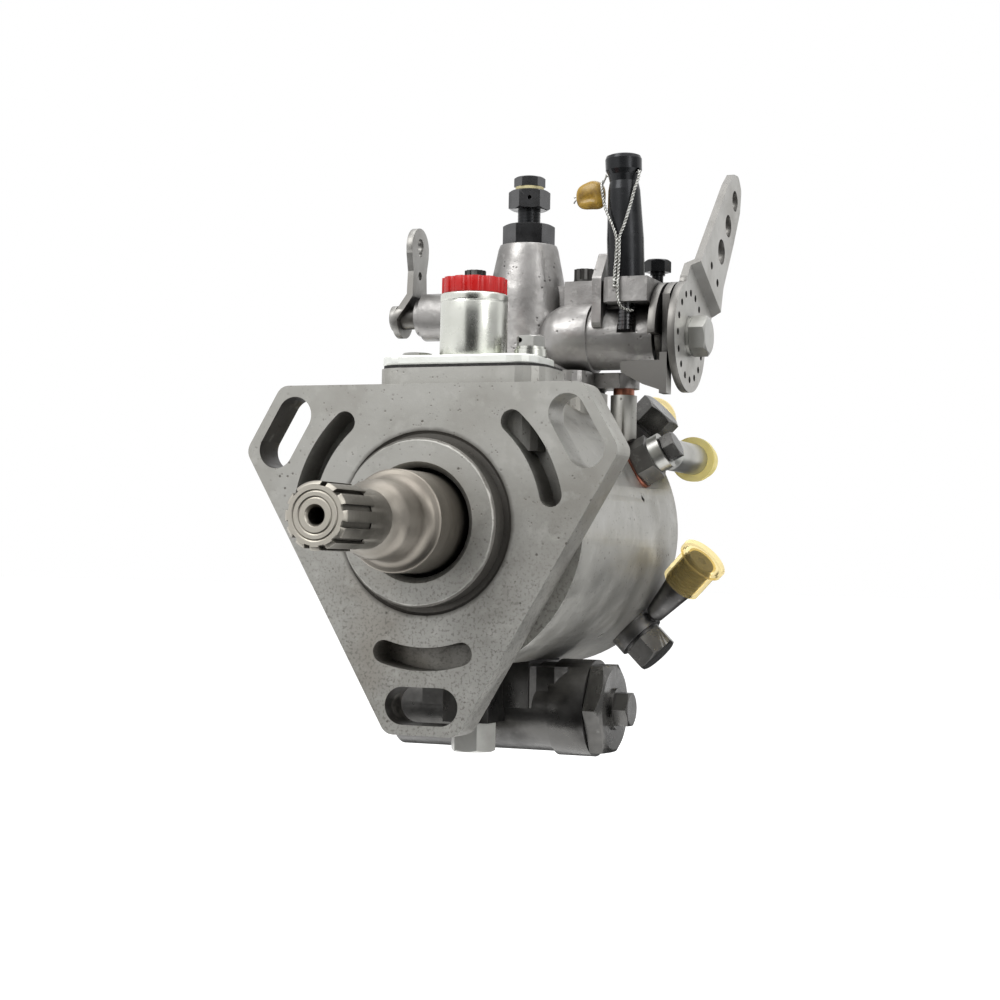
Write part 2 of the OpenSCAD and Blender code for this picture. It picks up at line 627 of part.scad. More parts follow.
module governor_screws() color("dimgray") for (s = [-1, 1])
    translate([s * screw_x, screw_y, s > 0 ? lug_top : lug_top + 1]) {
    difference() {
        union() {
            cylinder(r = 3.5, h = 1, $fn = round_fn);
            linear_extrude(4.4) polygon([for (i = [0:23]) polar(i % 2 == 0 ? 3.4 : 2.95, 15 * i)]);
        }
        translate([0, 0, 3.6]) cylinder(r = 1.6, h = 2, $fn = 24);
    }
    translate([0, 0, -screw_l]) cylinder(r = 1.75, h = screw_l + 0.2, $fn = round_fn);
}
module gland_nut() color("black") translate([0, tower_y, 0]) difference() {
    union() {
        translate([0, 0, tower_top + gap]) rotate(view_turn) hex(gland_af, 6.3, 0.6);
        rod_z(6, tower_top - 7.7, tower_top + 1);
    }
    rod_z(stem_d / 2 + seat, tower_top - 17.7, tower_top + 12.3);
}
module governor_stem() color("black") rod_z(stem_d / 2, tower_top - 8.3, stem_nut_z + 4.9, 0, tower_y);
module stem_nut() color("dimgray") translate([0, tower_y, stem_nut_z]) difference() {
    rotate(view_turn) intersection() {
        hex(11.2, stem_nut_h, 0.7);
        translate([0, 0, stem_nut_h]) mirror([0, 0, 1]) hex(11.2, stem_nut_h, 0.7);
    }
    translate([0, 0, -1]) cylinder(r = stem_d / 2 + seat, h = 6, $fn = round_fn);
    translate([0, 0, 3.2]) rotate([90, 0, view_turn]) cylinder(r = 0.65, h = 16, $fn = 24, center = true);
}
module vent_ring() color("khaki") tube_z(4.4, 2.2, vent_z - 1, vent_z - 0.04, 0, tower_y);
module vent_screw() color("dimgray") translate([0, tower_y, vent_z]) {
    rotate(view_turn) hex(8.4, 3.1, 0.5);
    translate([0, 0, -1]) cylinder(r = 2.1, h = 1.1, $fn = round_fn);
}

// Speed screws, seal wire and seal
module max_speed_screw() color("gray") difference() {
    rod_z(2.25, throttle_z + 1.3, shelf_z1 + 6, cap_x, cap_y);
    for (i = [0:5]) translate([cap_x, cap_y, throttle_z + 2.3 + 1.1 * i]) rotate_extrude($fn = round_fn)
        translate([1.95, 0]) square([1, 0.45]);
}
module max_speed_cap() color("black") translate([cap_x, cap_y, shelf_z1 + 0.02]) difference() {
    rotate([0, -cap_lean, 0]) difference() {
        lathe_z([[0, -1], [cap_d / 2, -1], [cap_d / 2, 12], [cap_d / 2 - 0.75, cap_h - 10.5],
            [cap_d / 2 - 1.25, cap_h - 8], [cap_d / 2 - 0.8, cap_h - 6], [cap_d / 2 - 0.1, cap_h - 4.6],
            [cap_d / 2 - 0.05, cap_h - 1.3], [cap_d / 2 - 0.45, cap_h - 0.35], [cap_d / 2 - 1.3, cap_h],
            [0, cap_h]]);
        translate([0, 0, cap_h - 5.3]) rotate([0, 90, hole_turn])
            cylinder(r = 0.9, h = 20, $fn = 24, center = true);
    }
    block([-8, -8, -4], [8, 8, 0]);
    translate([0, 0, -1]) cylinder(r = 2.25 + seat, h = 8, $fn = round_fn);
}
module idle_screw() color("dimgray") {
    rod_z(1.75, shelf_z0 - 1.9, shelf_z1 + 5.4, idle_x, idle_y);
    rod_z(2.3, shelf_z1 + 4, shelf_z1 + 5.1, idle_x, idle_y);
    translate([idle_x, idle_y, shelf_z1 + 5]) rotate(18) hex(7.1, 3.8, 0.7);
}
hole_turn = -19;
hole_z = shelf_z1 + cap_h - 5.3;
function near_cap(a, r, z) =
    [cap_x - tan(cap_lean) * (z - shelf_z1) + r * cos(a), cap_y + r * sin(a), z];
wire_main = [near_cap(hole_turn + 180, 6.6, hole_z), near_cap(hole_turn, 4, hole_z),
    near_cap(hole_turn, 5.6, hole_z),
    near_cap(-26, 6.1, hole_z - 1.4), near_cap(-34, 6.1, hole_z - 3.6), near_cap(-44, 6.2, hole_z - 6),
    near_cap(-58, 6.2, hole_z - 11), near_cap(-75, 6.2, hole_z - 16.5), near_cap(-88, 6.2, hole_z - 20),
    near_cap(-90, 6.3, hole_z - 25), near_cap(-93, 6.7, hole_z - 31), near_cap(-95, 7, hole_z - 35),
    near_cap(-95, 6.9, hole_z - 38.5), near_cap(-90, 5.6, hole_z - 40.6), near_cap(-70, 3.9, hole_z - 41.2),
    near_cap(-45, 4.2, hole_z - 41.4)];
wire_left = [near_cap(174, 7, hole_z - 2), near_cap(-160, 6.6, hole_z - 4.5), near_cap(-152, 6.3, hole_z - 8),
    near_cap(-138, 6.2, hole_z - 11), near_cap(-118, 6.2, hole_z - 14.5), near_cap(-103, 6.2, hole_z - 18),
    near_cap(-97, 6.2, hole_z - 21), near_cap(-99, 6.4, hole_z - 26), near_cap(-102, 6.9, hole_z - 31),
    near_cap(-104, 7, hole_z - 35)];
module seal_wire() color("lightgray") {
    sweep(wire_main, 0.45);
    sweep(wire_left, 0.45);
}
module wire_seal() color("goldenrod") translate([cap_x - 12.2, cap_y + 3.4, hole_z - 6]) hull() {
    translate([-2.4, 0, 1.2]) rotate([90, 0, 0]) cylinder(r = 2.7, h = 3.4, $fn = 24, center = true);
    translate([1.7, 0, 3.1]) rotate([90, 0, 0]) cylinder(r = 2, h = 4.4, $fn = 24, center = true);
    translate([1.9, 0, -1.9]) rotate([90, 0, 0]) cylinder(r = 2.2, h = 4, $fn = 24, center = true);
    translate([-1.5, 0, -2.3]) rotate([90, 0, 0]) cylinder(r = 2, h = 3, $fn = 24, center = true);
}

// Outlets and the head locking screw
module washer(r1, r0, h) difference() {
    cylinder(r = r1, h = h, $fn = round_fn);
    translate([0, 0, -1]) cylinder(r = r0, h = h + 2, $fn = round_fn);
}
module copper_washers() color("sienna") {
    radial(lock_angle, lock_y, spot_r) washer(7.4, lock_d / 2 + 0.1, washer_t);
    translate([foot_x, tower_y, foot_top]) washer(3.2, 1.5, gov_z - foot_top);
}
module outlet_washers() color("dimgray") for (a = outlet_angles) {
    radial(a, outlet_y, spot_r) washer(7.6, outlet_d / 2 + 0.1, washer_t);
    radial(a, outlet_y, eye_r1) washer(6.4, outlet_d / 2 + 0.1, bolt_washer_t);
}
module head_locking_screw() color("dimgray") radial(lock_angle, lock_y, 0) difference() {
    union() {
        translate([0, 0, lock_end]) cylinder(d = lock_d, h = lock_head_r - lock_end + 1, $fn = round_fn);
        translate([0, 0, lock_head_r]) hex(lock_af, lock_head_h, 0.5);
    }
    translate([0, 0, bleed_r0 - 5]) cylinder(r = 2.5 + seat, h = 8, $fn = round_fn);
}
module bleed_banjo() color("lightgray") difference() {
    union() {
        radial(lock_angle, lock_y, bleed_r0) cylinder(r = 5.6, h = bleed_t, $fn = round_fn);
        radial(lock_angle, 0, bleed_r0 + bleed_t / 2) {
            rotate([-90, 0, 0]) lathe_z([[0, lock_y + 4], [1.5, lock_y + 4], [1.5, lock_y + 6.5],
                [bleed_tube_r, lock_y + 8.5], [bleed_tube_r, bleed_end], [0, bleed_end]]);
        }
    }
    radial(lock_angle, lock_y, bleed_r0 - 1) cylinder(r = 2.6, h = 12, $fn = round_fn);
    radial(lock_angle, 0, bleed_r0 + bleed_t / 2) rotate([-90, 0, 0])
        translate([0, 0, lock_y + 12]) cylinder(r = 2.6, h = 60, $fn = round_fn);
}
module bleed_bolt() color("dimgray") radial(lock_angle, lock_y, bleed_r0 + bleed_t + 0.2) {
    rotate(30) hex(7.6, 4, 0.5);
    translate([0, 0, -7]) cylinder(r = 2.5, h = 7.2, $fn = round_fn);
}
module bleed_cap() color("khaki") radial(lock_angle, 0, bleed_r0 + bleed_t / 2) rotate([-90, 0, 0])
    translate([0, 0, bleed_end - 3]) difference() {
        union() {
            cylinder(r = bleed_tube_r + 1, h = 9, $fn = round_fn);
            cylinder(r = bleed_tube_r + 2.2, h = 2.6, $fn = round_fn);
        }
        translate([0, 0, -1]) cylinder(r = bleed_tube_r + seat, h = 9, $fn = round_fn);
    }
module outlet_bolts() color("dimgray") for (a = outlet_angles) radial(a, outlet_y, 0) {
    translate([0, 0, bolt_end]) cylinder(d = outlet_d, h = eye_r1 - bolt_end + 1, $fn = round_fn);
    translate([0, 0, eye_r1 + bolt_washer_t]) rotate(20) hex(outlet_af, bolt_head_h, 0.8);
}
module along_stub(i)
    radial(outlet_angles[i], outlet_y, stub_c) rotate(-stub_turns[i]) rotate([0, -90, 0]) children();
function thread_rings(z0) = [for (i = [0:6]) each let (z = z0 + 1.4 * i)
    [[4.9, z], [4.9, z + 0.7], [4.6, z + 0.95], [4.6, z + 1.15]]];
module stub_form() lathe_z(concat([[0, 3], [1.7, 3], [1.7, 7.8], [2.9, 9], [4.5, stub_l - 12.5],
    [4.2, stub_l - 11.5]], thread_rings(stub_l - 10.6), [[4.3, stub_l], [0, stub_l]]));
module outlet_banjos() color("slategray") for (i = [0:3]) difference() {
    union() {
        radial(outlet_angles[i], outlet_y, eye_r0) cylinder(r = 7.6, h = eye_t, $fn = round_fn);
        along_stub(i) stub_form();
    }
    radial(outlet_angles[i], outlet_y, eye_r0 - 1)
        cylinder(r = outlet_d / 2 + seat, h = eye_t + 4, $fn = round_fn);
    along_stub(i) translate([0, 0, stub_l - 12]) cylinder(r = 1.6, h = 16, $fn = round_fn);
}
module outlet_caps() color("khaki") for (i = [0:3]) along_stub(i)
    translate([0, 0, stub_l - 10.2]) difference() {
        union() {
            cylinder(r = 6.4, h = 11.8, $fn = round_fn);
            translate([0, 0, 9.9]) cylinder(r = 7.6, h = 1.9, $fn = round_fn);
        }
        translate([0, 0, -1]) cylinder(r = 5, h = 11.5, $fn = round_fn);
    }

// Advance unit
module advance_housing() color("dimgray") difference() {
    union() {
        rod_x(advance_r, advance_x0, advance_x1 + 1, advance_y, advance_z);
        rod_x(advance_r + 1, advance_x1, advance_x2, advance_y, advance_z);
        block([-16, advance_y - 14.5, advance_z], [17, advance_y1, pad_z - advance_gasket_t]);
        block([lug_x - 7, advance_y0, advance_z - 4], [lug_x + 7, advance_y, pad_z - advance_gasket_t]);
        translate([0, 0, advance_z]) linear_extrude(pad_z - advance_gasket_t - 1 - advance_z)
            polygon([[16, advance_y - 14.5], [18.5, advance_y - 12], [24, advance_y - 12],
                [27, advance_y - 9], [27, advance_y + 9], [16, advance_y + 11]]);
    }
    rod_x(advance_bore_r, advance_x0 + 8, advance_x2 + 1, advance_y, advance_z);
    rod_x(6 + seat, advance_x0 - 1, advance_x0 + 9, advance_y, advance_z);
    rod_x(11 + seat, advance_x2 - 6, advance_x2 + 1, advance_y, advance_z);
    translate([2, advance_y, advance_z]) linear_extrude(advance_r + 5) slot(15, 7.4);
    rod_z(2.5 + seat, advance_z - 20, advance_z + 30, lug_x, lug_y);
}
module advance_cap_nut() color("gray") translate([advance_x2 + 0.2, advance_y, advance_z]) rotate([0, 90, 0])
    difference() {
        union() {
            rotate(30) hex(cap_nut_af, cap_nut_h, 2);
            translate([0, 0, -5.6]) cylinder(r = 11, h = 5.7, $fn = round_fn);
        }
        translate([0, 0, -7]) cylinder(r = 8, h = 8.4, $fn = round_fn);
        cylinder(r = 3.5 + seat, h = 8, $fn = round_fn);
    }
module advance_plug() color("dimgray")
    translate([advance_x2 + 0.2 + cap_nut_h, advance_y, advance_z]) rotate([0, 90, 0]) {
        cylinder(r = 6, h = 0.9, $fn = round_fn);
        translate([0, 0, 0.9]) rotate(30) hex(9.4, 4.2, 0.6);
        translate([0, 0, -3.6]) cylinder(r = 3.5, h = 3.7, $fn = round_fn);
    }
module advance_end_plug() color("dimgray") translate([advance_x0, advance_y, advance_z]) rotate([0, -90, 0]) {
    hex(17, 5.5, 1);
    translate([0, 0, -6]) cylinder(r = 6, h = 6.1, $fn = round_fn);
}
module advance_spring() color("darkgray") translate([spring_x0, advance_y, advance_z]) rotate([0, 90, 0])
    coil(6, 0.7, spring_x1 - spring_x0, 6);
module advance_nut() color("lightgray") {
    rod_z(2.5, advance_z - 10, pad_z + 4, lug_x, lug_y);
    translate([lug_x, lug_y, advance_z - 4.1]) mirror([0, 0, 1]) difference() {
        hex(11.8, 8.4, 0.8);
        translate([0, 0, -1]) cylinder(r = 2.5 + seat, h = 8, $fn = round_fn);
    }
}
module advance_piston() color("lightgray") difference() {
    rod_x(piston_d / 2, -piston_l / 2, piston_l / 2, advance_y, advance_z);
    rod_z(ball_r + 0.06, advance_z - ball_r - 0.8, advance_z + 20, 0, advance_y);
    rod_x(7.1, pocket_x, piston_l / 2 + 1, advance_y, advance_z);
}

// Rotating group
module spline_outline() difference() {
    circle(d = spline_d, $fn = round_fn);
    for (i = [1:spline_n - 1]) rotate(360 / spline_n * (i + 0.5) + 90)
        translate([spline_d / 2 - 1.15, -spline_gap / 2]) square([3, spline_gap]);
}
module dog_outline(c = 0) intersection() {
    circle(r = 9 + c, $fn = round_fn);
    square([30, 11 + 2 * c], center = true);
}
module drive_shaft() color("dimgray") {
    difference() {
        union() {
            intersection() {
                xz_plate(-nose_l, spline_l + 1) spline_outline();
                lathe_y(concat([[0, -nose_l]],
                    [for (r = [4.2, 5.8]) each [[r, -nose_l], [r + 0.3, -nose_l + 0.3], [r + 0.6, -nose_l]]],
                    [[spline_d / 2 - 0.8, -nose_l], [spline_d / 2, -nose_l + 0.8],
                    [spline_d / 2, -nose_l + spline_l + 1], [0, -nose_l + spline_l + 1]]));
            }
            lathe_y([[0, -nose_l + spline_l], [neck_d / 2, -nose_l + spline_l], [neck_d / 2, -38],
                [shoulder_d / 2 - 1, -35.5], [shoulder_d / 2, -33], [shoulder_d / 2, -25],
                [shoulder_d / 2 + 0.8, -22.6], [shoulder_d / 2 + 2, -21.3],
                [collar_d / 2 - 0.5, -21], [collar_d / 2, -20.5], [collar_d / 2, 3.5], [journal_d / 2, 4.2],
                [journal_d / 2, chamber_y + gap], [journal_d / 2 + 3, chamber_y + gap],
                [journal_d / 2 + 3, plate_y - gap], [0, plate_y - gap]]);
            xz_plate(plate_y - 1, 5) dog_outline();
        }
        lathe_y([[0, -nose_l - 1], [centre_d / 2 + 0.7, -nose_l - 1], [centre_d / 2 + 0.6, -nose_l],
            [centre_d / 2, -nose_l + 0.9], [centre_d / 2, -nose_l + 13], [0, -nose_l + 14.5]]);
    }
}
module drive_plate() color("gray") xz_plate(plate_y, plate_end - plate_y) difference() {
    circle(r = 21, $fn = round_fn);
    dog_outline(run);
    for (a = [90, 270]) rotate(a) translate([15.5, 0]) circle(r = 2.2, $fn = round_fn);
}
module rotor() color("silver") difference() {
    union() {
        rod_y(rotor_head_d / 2, rotor_y, rotor_head_end);
        rod_y(rotor_d / 2, rotor_head_end - 1, transfer_y - 0.1);
    }
    rod_x(plunger_d / 2 + run, -20, 20, (roller_y0 + roller_y1) / 2);
    for (s = [0, 180]) rotate([0, s, 0]) block([11.5, roller_y0 - 0.5, -roller_d / 2 - 0.6],
        [30, roller_y1 + 0.5, roller_d / 2 + 0.6]);
    rod_y(1.5, 60, 90);
    rod_z(1.3, 0, 20, 0, port_y);
}
module plungers() color("lightgray") for (s = [0, 180]) rotate([0, s, 0])
    rod_x(plunger_d / 2, 3.5, 12, (roller_y0 + roller_y1) / 2);
module roller_shoes() color("gray") for (s = [0, 180]) rotate([0, s, 0]) difference() {
    block([12.1, roller_y0 - 0.2, -roller_d / 2 - 0.4], [roller_c, roller_y1 + 0.2, roller_d / 2 + 0.4]);
    rod_y(roller_d / 2 + run, roller_y0 - 1, roller_y1 + 1, roller_c);
}
module rollers() color("silver") for (s = [-1, 1]) rod_y(roller_d / 2, roller_y0, roller_y1, s * roller_c);
module transfer_rotor() color("silver") difference() {
    rod_y(transfer_r, transfer_y + 0.1, head_end - 0.3);
    block([-20, transfer_y + 1.5, -1.05], [20, head_end + 1, 1.05]);
}
module transfer_blades() color("dimgray") for (s = [0, 180]) rotate([0, s, 0])
    block([0.6, transfer_y + 1.6, -1], [transfer_r + 0.35, head_end - 0.4, 1]);
module cam_ring() color("gray") difference() {
    union() {
        xz_plate(cam_y0, cam_w) difference() {
            circle(r = cam_out, $fn = round_fn);
            cam_outline();
        }
        rod_z(stem_r, advance_z, -cam_crest - cam_lift - 0.5, 0, advance_y);
        translate([0, advance_y, advance_z]) sphere(r = ball_r, $fn = 48);
    }
}

// Metering valve with its rack, and the spring below the rack
module metering_valve() color("silver") {
    rod_z(2.5, rotor_d / 2 + 6, valve_z - 1.4, 0, tower_y);
    rod_z(4.2, valve_z - 1.6, valve_z, 0, tower_y);
    rod_z(1.6, valve_z - 0.1, collar_z + 3.5, 0, tower_y);
    rod_z(4.4, collar_z, collar_z + 1.4, 0, tower_y);
    difference() {
        rod_z(4.5, rack_z0, rack_z1, 0, tower_y);
        block([-6, tower_y - 8, rack_z0 - 1], [6, tower_y - rack_off - 0.72 * module_g, rack_z1 + 1]);
        yz_plate(-6, 12) for (i = [-3:3]) translate([tower_y - rack_off, throttle_z + PI * module_g * i])
            rack_gap(module_g);
    }
}
module governor_spring() color("darkgray") translate([0, tower_y, valve_z + 0.05])
    coil(3, 0.5, rack_z0 - valve_z - 0.1, 5);

// Throttle group
module throttle_shaft() color("gray") {
    rod_x(throttle_d / 2, 5.4, disc_x + disc_t + 1, lever_y, throttle_z);
    rod_x(2, -3, 5.5, lever_y, throttle_z);
    translate([0, lever_y, throttle_z]) rotate([90, 0, 90]) translate([0, 0, -2.6]) linear_extrude(7)
        polygon(pinion_points(pinion_n, module_g));
    rod_x(5.9, disc_x + disc_t, disc_x + disc_t + 0.9, lever_y, throttle_z);
    translate([disc_x + disc_t + 0.9, lever_y, throttle_z]) rotate([0, 90, 0]) rotate(10) hex(nut_af, 5, 0.8);
}
lever_angle = 50.4;
bend_angle = 62.2;
ring_r = 12.9;
bend_0 = 18.4;
bend_1 = 20.3;
hole_l = [lever_l, lever_l - 11.9, lever_l - 23.9];
hole_r = [lever_hole_d / 2, lever_hole_d / 2 + 0.25, lever_hole_d / 2 + 0.65];
module lever_outline() {
    circle(d = disc_d, $fn = round_fn);
    rotate(lever_angle) polygon(rounded([[6, -15.2], [22, -12.6], [31, -9.2], [50, -8.2], [lever_l + 2, -6.6],
        [lever_l + 8.6, -3], [lever_l + 9, 2.6], [lever_l + 5, 6.8], [lever_l - 2.3, 8.8], [34, 11.9],
        [17, 13.9], [8, 14.6]], 3));
}
module joggle_profile() polygon([[-40, 0], [bend_0 + disc_t / 2, 0], [bend_1 + disc_t / 2, arm_shift],
    [90, arm_shift], [90, arm_shift + disc_t], [bend_1, arm_shift + disc_t], [bend_0, disc_t],
    [-40, disc_t]]);
module throttle_lever() color("lightgray") {
    difference() {
        intersection() {
            translate([0, lever_y, throttle_z]) yz_plate(disc_x, arm_shift + disc_t) lever_outline();
            translate([disc_x, lever_y, throttle_z]) rotate([bend_angle, 0, 0]) translate([0, 0, -40])
                linear_extrude(80) rotate(90) mirror([0, 1]) joggle_profile();
        }
        rod_x(throttle_d / 2 + seat, disc_x - 1, disc_x + 10, lever_y, throttle_z);
        translate([0, lever_y, throttle_z]) rotate([lever_angle, 0, 0]) {
            for (i = [0:2]) rod_x(hole_r[i], disc_x - 1, disc_x + 10, hole_l[i], 0);
            rod_x(1.25, disc_x - 1, disc_x + 10, 25.9, 4.7);
            rod_x(1.25, disc_x - 1, disc_x + 10, 26.9, -3.3);
        }
        for (i = [0:15]) translate([0, lever_y, throttle_z]) rotate([22.5 * i, 0, 0])
            rod_x(1.05, disc_x - 1, disc_x + disc_t + 0.1, ring_r, 0);
    }
    translate([0, lever_y, throttle_z]) {
        difference() {
            union() {
                yz_plate(plate1_x, stop_plate_t) intersection() {
                    circle(r = 16.2, $fn = round_fn);
                    translate([-20, -0.4]) square([40, 40]);
                }
                yz_plate(plate1_x, stop_plate_t) circle(r = 9, $fn = round_fn);
                yz_plate(plate2_x, stop_plate_t) intersection() {
                    circle(r = 16.3, $fn = round_fn);
                    translate([-11.7, -10.6]) square([30, 30]);
                }
                yz_plate(plate2_x, stop_plate_t) polygon(rect(-14, -18, -9, -6));
                rod_x(7, plate1_x, disc_x);
            }
            rod_x(throttle_d / 2 + seat, plate1_x - 1, disc_x + 1);
        }
        block([39.5, 9.3, 4.5], [plate1_x + 0.1, 14.6, 6.8]);
    }
    translate([0, 0, throttle_z]) xz_plate(lever_y - 14, 3.2) polygon([[36.7, -8.6], [46.3, -8.3],
        [plate2_x + 1, -8.3], [plate2_x + 1, -17.3], [43.6, -15.3], [36.8, -11.7]]);
}

// Stop group
module stop_outline() {
    circle(r = 6.3, $fn = round_fn);
    polygon([[-6, 1], [6, 1], [5, stop_lever_l - 14], [6.4, stop_lever_l - 8.5], [6.4, stop_lever_l - 5.5],
        [-6.4, stop_lever_l - 5.5], [-6.4, stop_lever_l - 8.5], [-5, stop_lever_l - 14]]);
    translate([0, stop_lever_l - 6.5]) circle(r = 6.5, $fn = round_fn);
}
module stop_profile() polygon([[-41.2, -10], [-39.2, -10], [-39.2, -1], [-34.3, 6.3], [-34.3, 60],
    [-36.3, 60], [-36.3, 7], [-41.2, -0.3]]);
module stop_lever() color("gray") {
    difference() {
        intersection() {
            translate([0, lever_y, stop_z]) yz_plate(-42, 10) stop_outline();
            translate([0, lever_y - 10, stop_z]) xz_plate(0, 20) stop_profile();
        }
        rod_x(stop_d / 2 - 1.1, -43, -30, lever_y, stop_z);
        translate([0, lever_y, 0]) {
            rod_x(2.2, -43, -30, 0, stop_top - 5.5);
            rod_x(1.2, -43, -30, 0, stop_top - 7.8);
            rod_x(1.3, -43, -30, 0, stop_top - 15);
        }
    }
    rod_x(stop_d / 2, -39.6, -6.2, lever_y, stop_z);
    rod_x(stop_d / 2 - 1, -42, -39.5, lever_y, stop_z);
    rod_x(4, -42.9, -41.1, lever_y, stop_z);
    translate([0, lever_y, stop_z]) {
        rod_x(1.2, -6.5, -3.4);
        block([-4.8, -1.2, -1.1], [-3.4, tower_y - lever_y + 2, 1.1]);
    }
}

main_housing();
shaft_seal();
shaft_bush();
hydraulic_head();
head_locating_fitting();
transfer_liner();
end_plate();
end_plate_oring();
end_plate_screws();
regulating_valve();
inlet_union();
top_gasket();
top_plate();
adapter_tube();
red_plug();
plate_screws();
plate_washers();
governor_housing();
housing_gaskets();
governor_screws();
gland_nut();
governor_stem();
stem_nut();
vent_ring();
vent_screw();
max_speed_screw();
max_speed_cap();
idle_screw();
seal_wire();
wire_seal();
copper_washers();
outlet_washers();
head_locking_screw();
bleed_banjo();
bleed_bolt();
bleed_cap();
outlet_bolts();
outlet_banjos();
outlet_caps();
advance_housing();
advance_cap_nut();
advance_plug();
advance_end_plug();
advance_spring();
advance_nut();
drive_shaft();
drive_plate();
rotor();
plungers();
roller_shoes();
rollers();
transfer_rotor();
transfer_blades();
cam_ring();
advance_piston();
metering_valve();
governor_spring();
throttle_shaft();
throttle_lever();
stop_lever();
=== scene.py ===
"""Dressed model of the fuel injection pump: materials, fine pieces, floor, light and camera, in metres."""

import math

import bmesh
import bpy
from mathutils import Matrix, Vector


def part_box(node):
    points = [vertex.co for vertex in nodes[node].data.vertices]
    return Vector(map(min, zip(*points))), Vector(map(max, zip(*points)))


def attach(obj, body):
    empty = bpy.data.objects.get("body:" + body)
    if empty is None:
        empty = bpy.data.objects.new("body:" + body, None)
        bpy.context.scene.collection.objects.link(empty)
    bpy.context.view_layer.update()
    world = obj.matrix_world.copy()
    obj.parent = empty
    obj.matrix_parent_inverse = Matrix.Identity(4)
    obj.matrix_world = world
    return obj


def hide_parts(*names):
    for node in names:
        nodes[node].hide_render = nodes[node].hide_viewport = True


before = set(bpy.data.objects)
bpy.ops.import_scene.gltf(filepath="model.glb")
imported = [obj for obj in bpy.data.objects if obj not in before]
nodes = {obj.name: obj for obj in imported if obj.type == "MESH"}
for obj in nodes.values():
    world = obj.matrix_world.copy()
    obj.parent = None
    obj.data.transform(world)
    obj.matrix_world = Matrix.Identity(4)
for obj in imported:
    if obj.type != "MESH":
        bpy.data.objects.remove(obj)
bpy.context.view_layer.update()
MM = 0.001
WHITE = (1, 1, 1, 1)
BLACK = (0, 0, 0, 1)

# The view of the photograph
PHOTO_PIXELS = 1000
FOCAL_PIXELS = 1983.6
SENSOR = 36.0
NEAR_CLIP = 0.01
FAR_CLIP = 50
CAMERA_MM = (217.1, -496.1, -11.3)
YAW = math.radians(21.47)
PITCH = math.radians(-1.9)
ROLL = math.radians(1.1)


def make_camera():
    back = Vector((math.sin(YAW) * math.cos(PITCH), -math.cos(YAW) * math.cos(PITCH), math.sin(PITCH)))
    right = (-back).cross(Vector((0, 0, 1))).normalized()
    up = right.cross(-back)
    turned_right = math.cos(ROLL) * right + math.sin(ROLL) * up
    turned_up = -math.sin(ROLL) * right + math.cos(ROLL) * up
    data = bpy.data.cameras.new("camera")
    data.sensor_width = SENSOR
    data.lens = FOCAL_PIXELS * SENSOR / PHOTO_PIXELS
    data.clip_start = NEAR_CLIP
    data.clip_end = FAR_CLIP
    camera = bpy.data.objects.new("camera", data)
    bpy.context.scene.collection.objects.link(camera)
    place = Matrix((turned_right, turned_up, back)).transposed().to_4x4()
    place.translation = Vector(CAMERA_MM) * MM
    camera.matrix_world = place
    bpy.context.scene.camera = camera


make_camera()


# Materials
def linear(value):
    """A display value of 0 to 255 as linear light of 0 to 1."""
    value /= 255
    return value / 12.92 if value <= 0.04045 else ((value + 0.055) / 1.055) ** 2.4


def rgb(red, green, blue):
    return (linear(red), linear(green), linear(blue), 1.0)


# The two straight slots whose walls get painted shade: their angles round the shaft axis in degrees, their
# size in metres
SHADED_SLOTS = (150, 270)
SLOT_RADIUS = 0.05
SLOT_HALF_WIDTH = 0.0058
SLOT_HALF_LENGTH = 0.0112
FLANGE_DEPTH = 0.013

# Between these heights the flange turns from smooth to speckled
SMOOTH_ABOVE = 0.012
SPECKLED_BELOW = -0.03

NO_STRETCH = (1, 1, 1)
NOISE_ROUGHNESS = 0.55

# Nearly all of the noise lies between these
NOISE_LOW = 0.3
NOISE_HIGH = 0.7

# The noise that gathers pits in patches is this much coarser than the pits
PATCH_SCALE = 0.31

# The widths over which the painted ring of shade and dirt comes and goes, in metres
RAGGED_EDGE = 0.0012
INNER_EDGE = 0.0003
DEPTH_EDGE = 0.0002

# A normal's size along an axis, where the surface faces that axis and where it is turned from it
FACES_ALONG = 0.75
FACES_ACROSS = 0.35

CORNER_SAMPLES = 6
CORNER_NOISE = 0.2


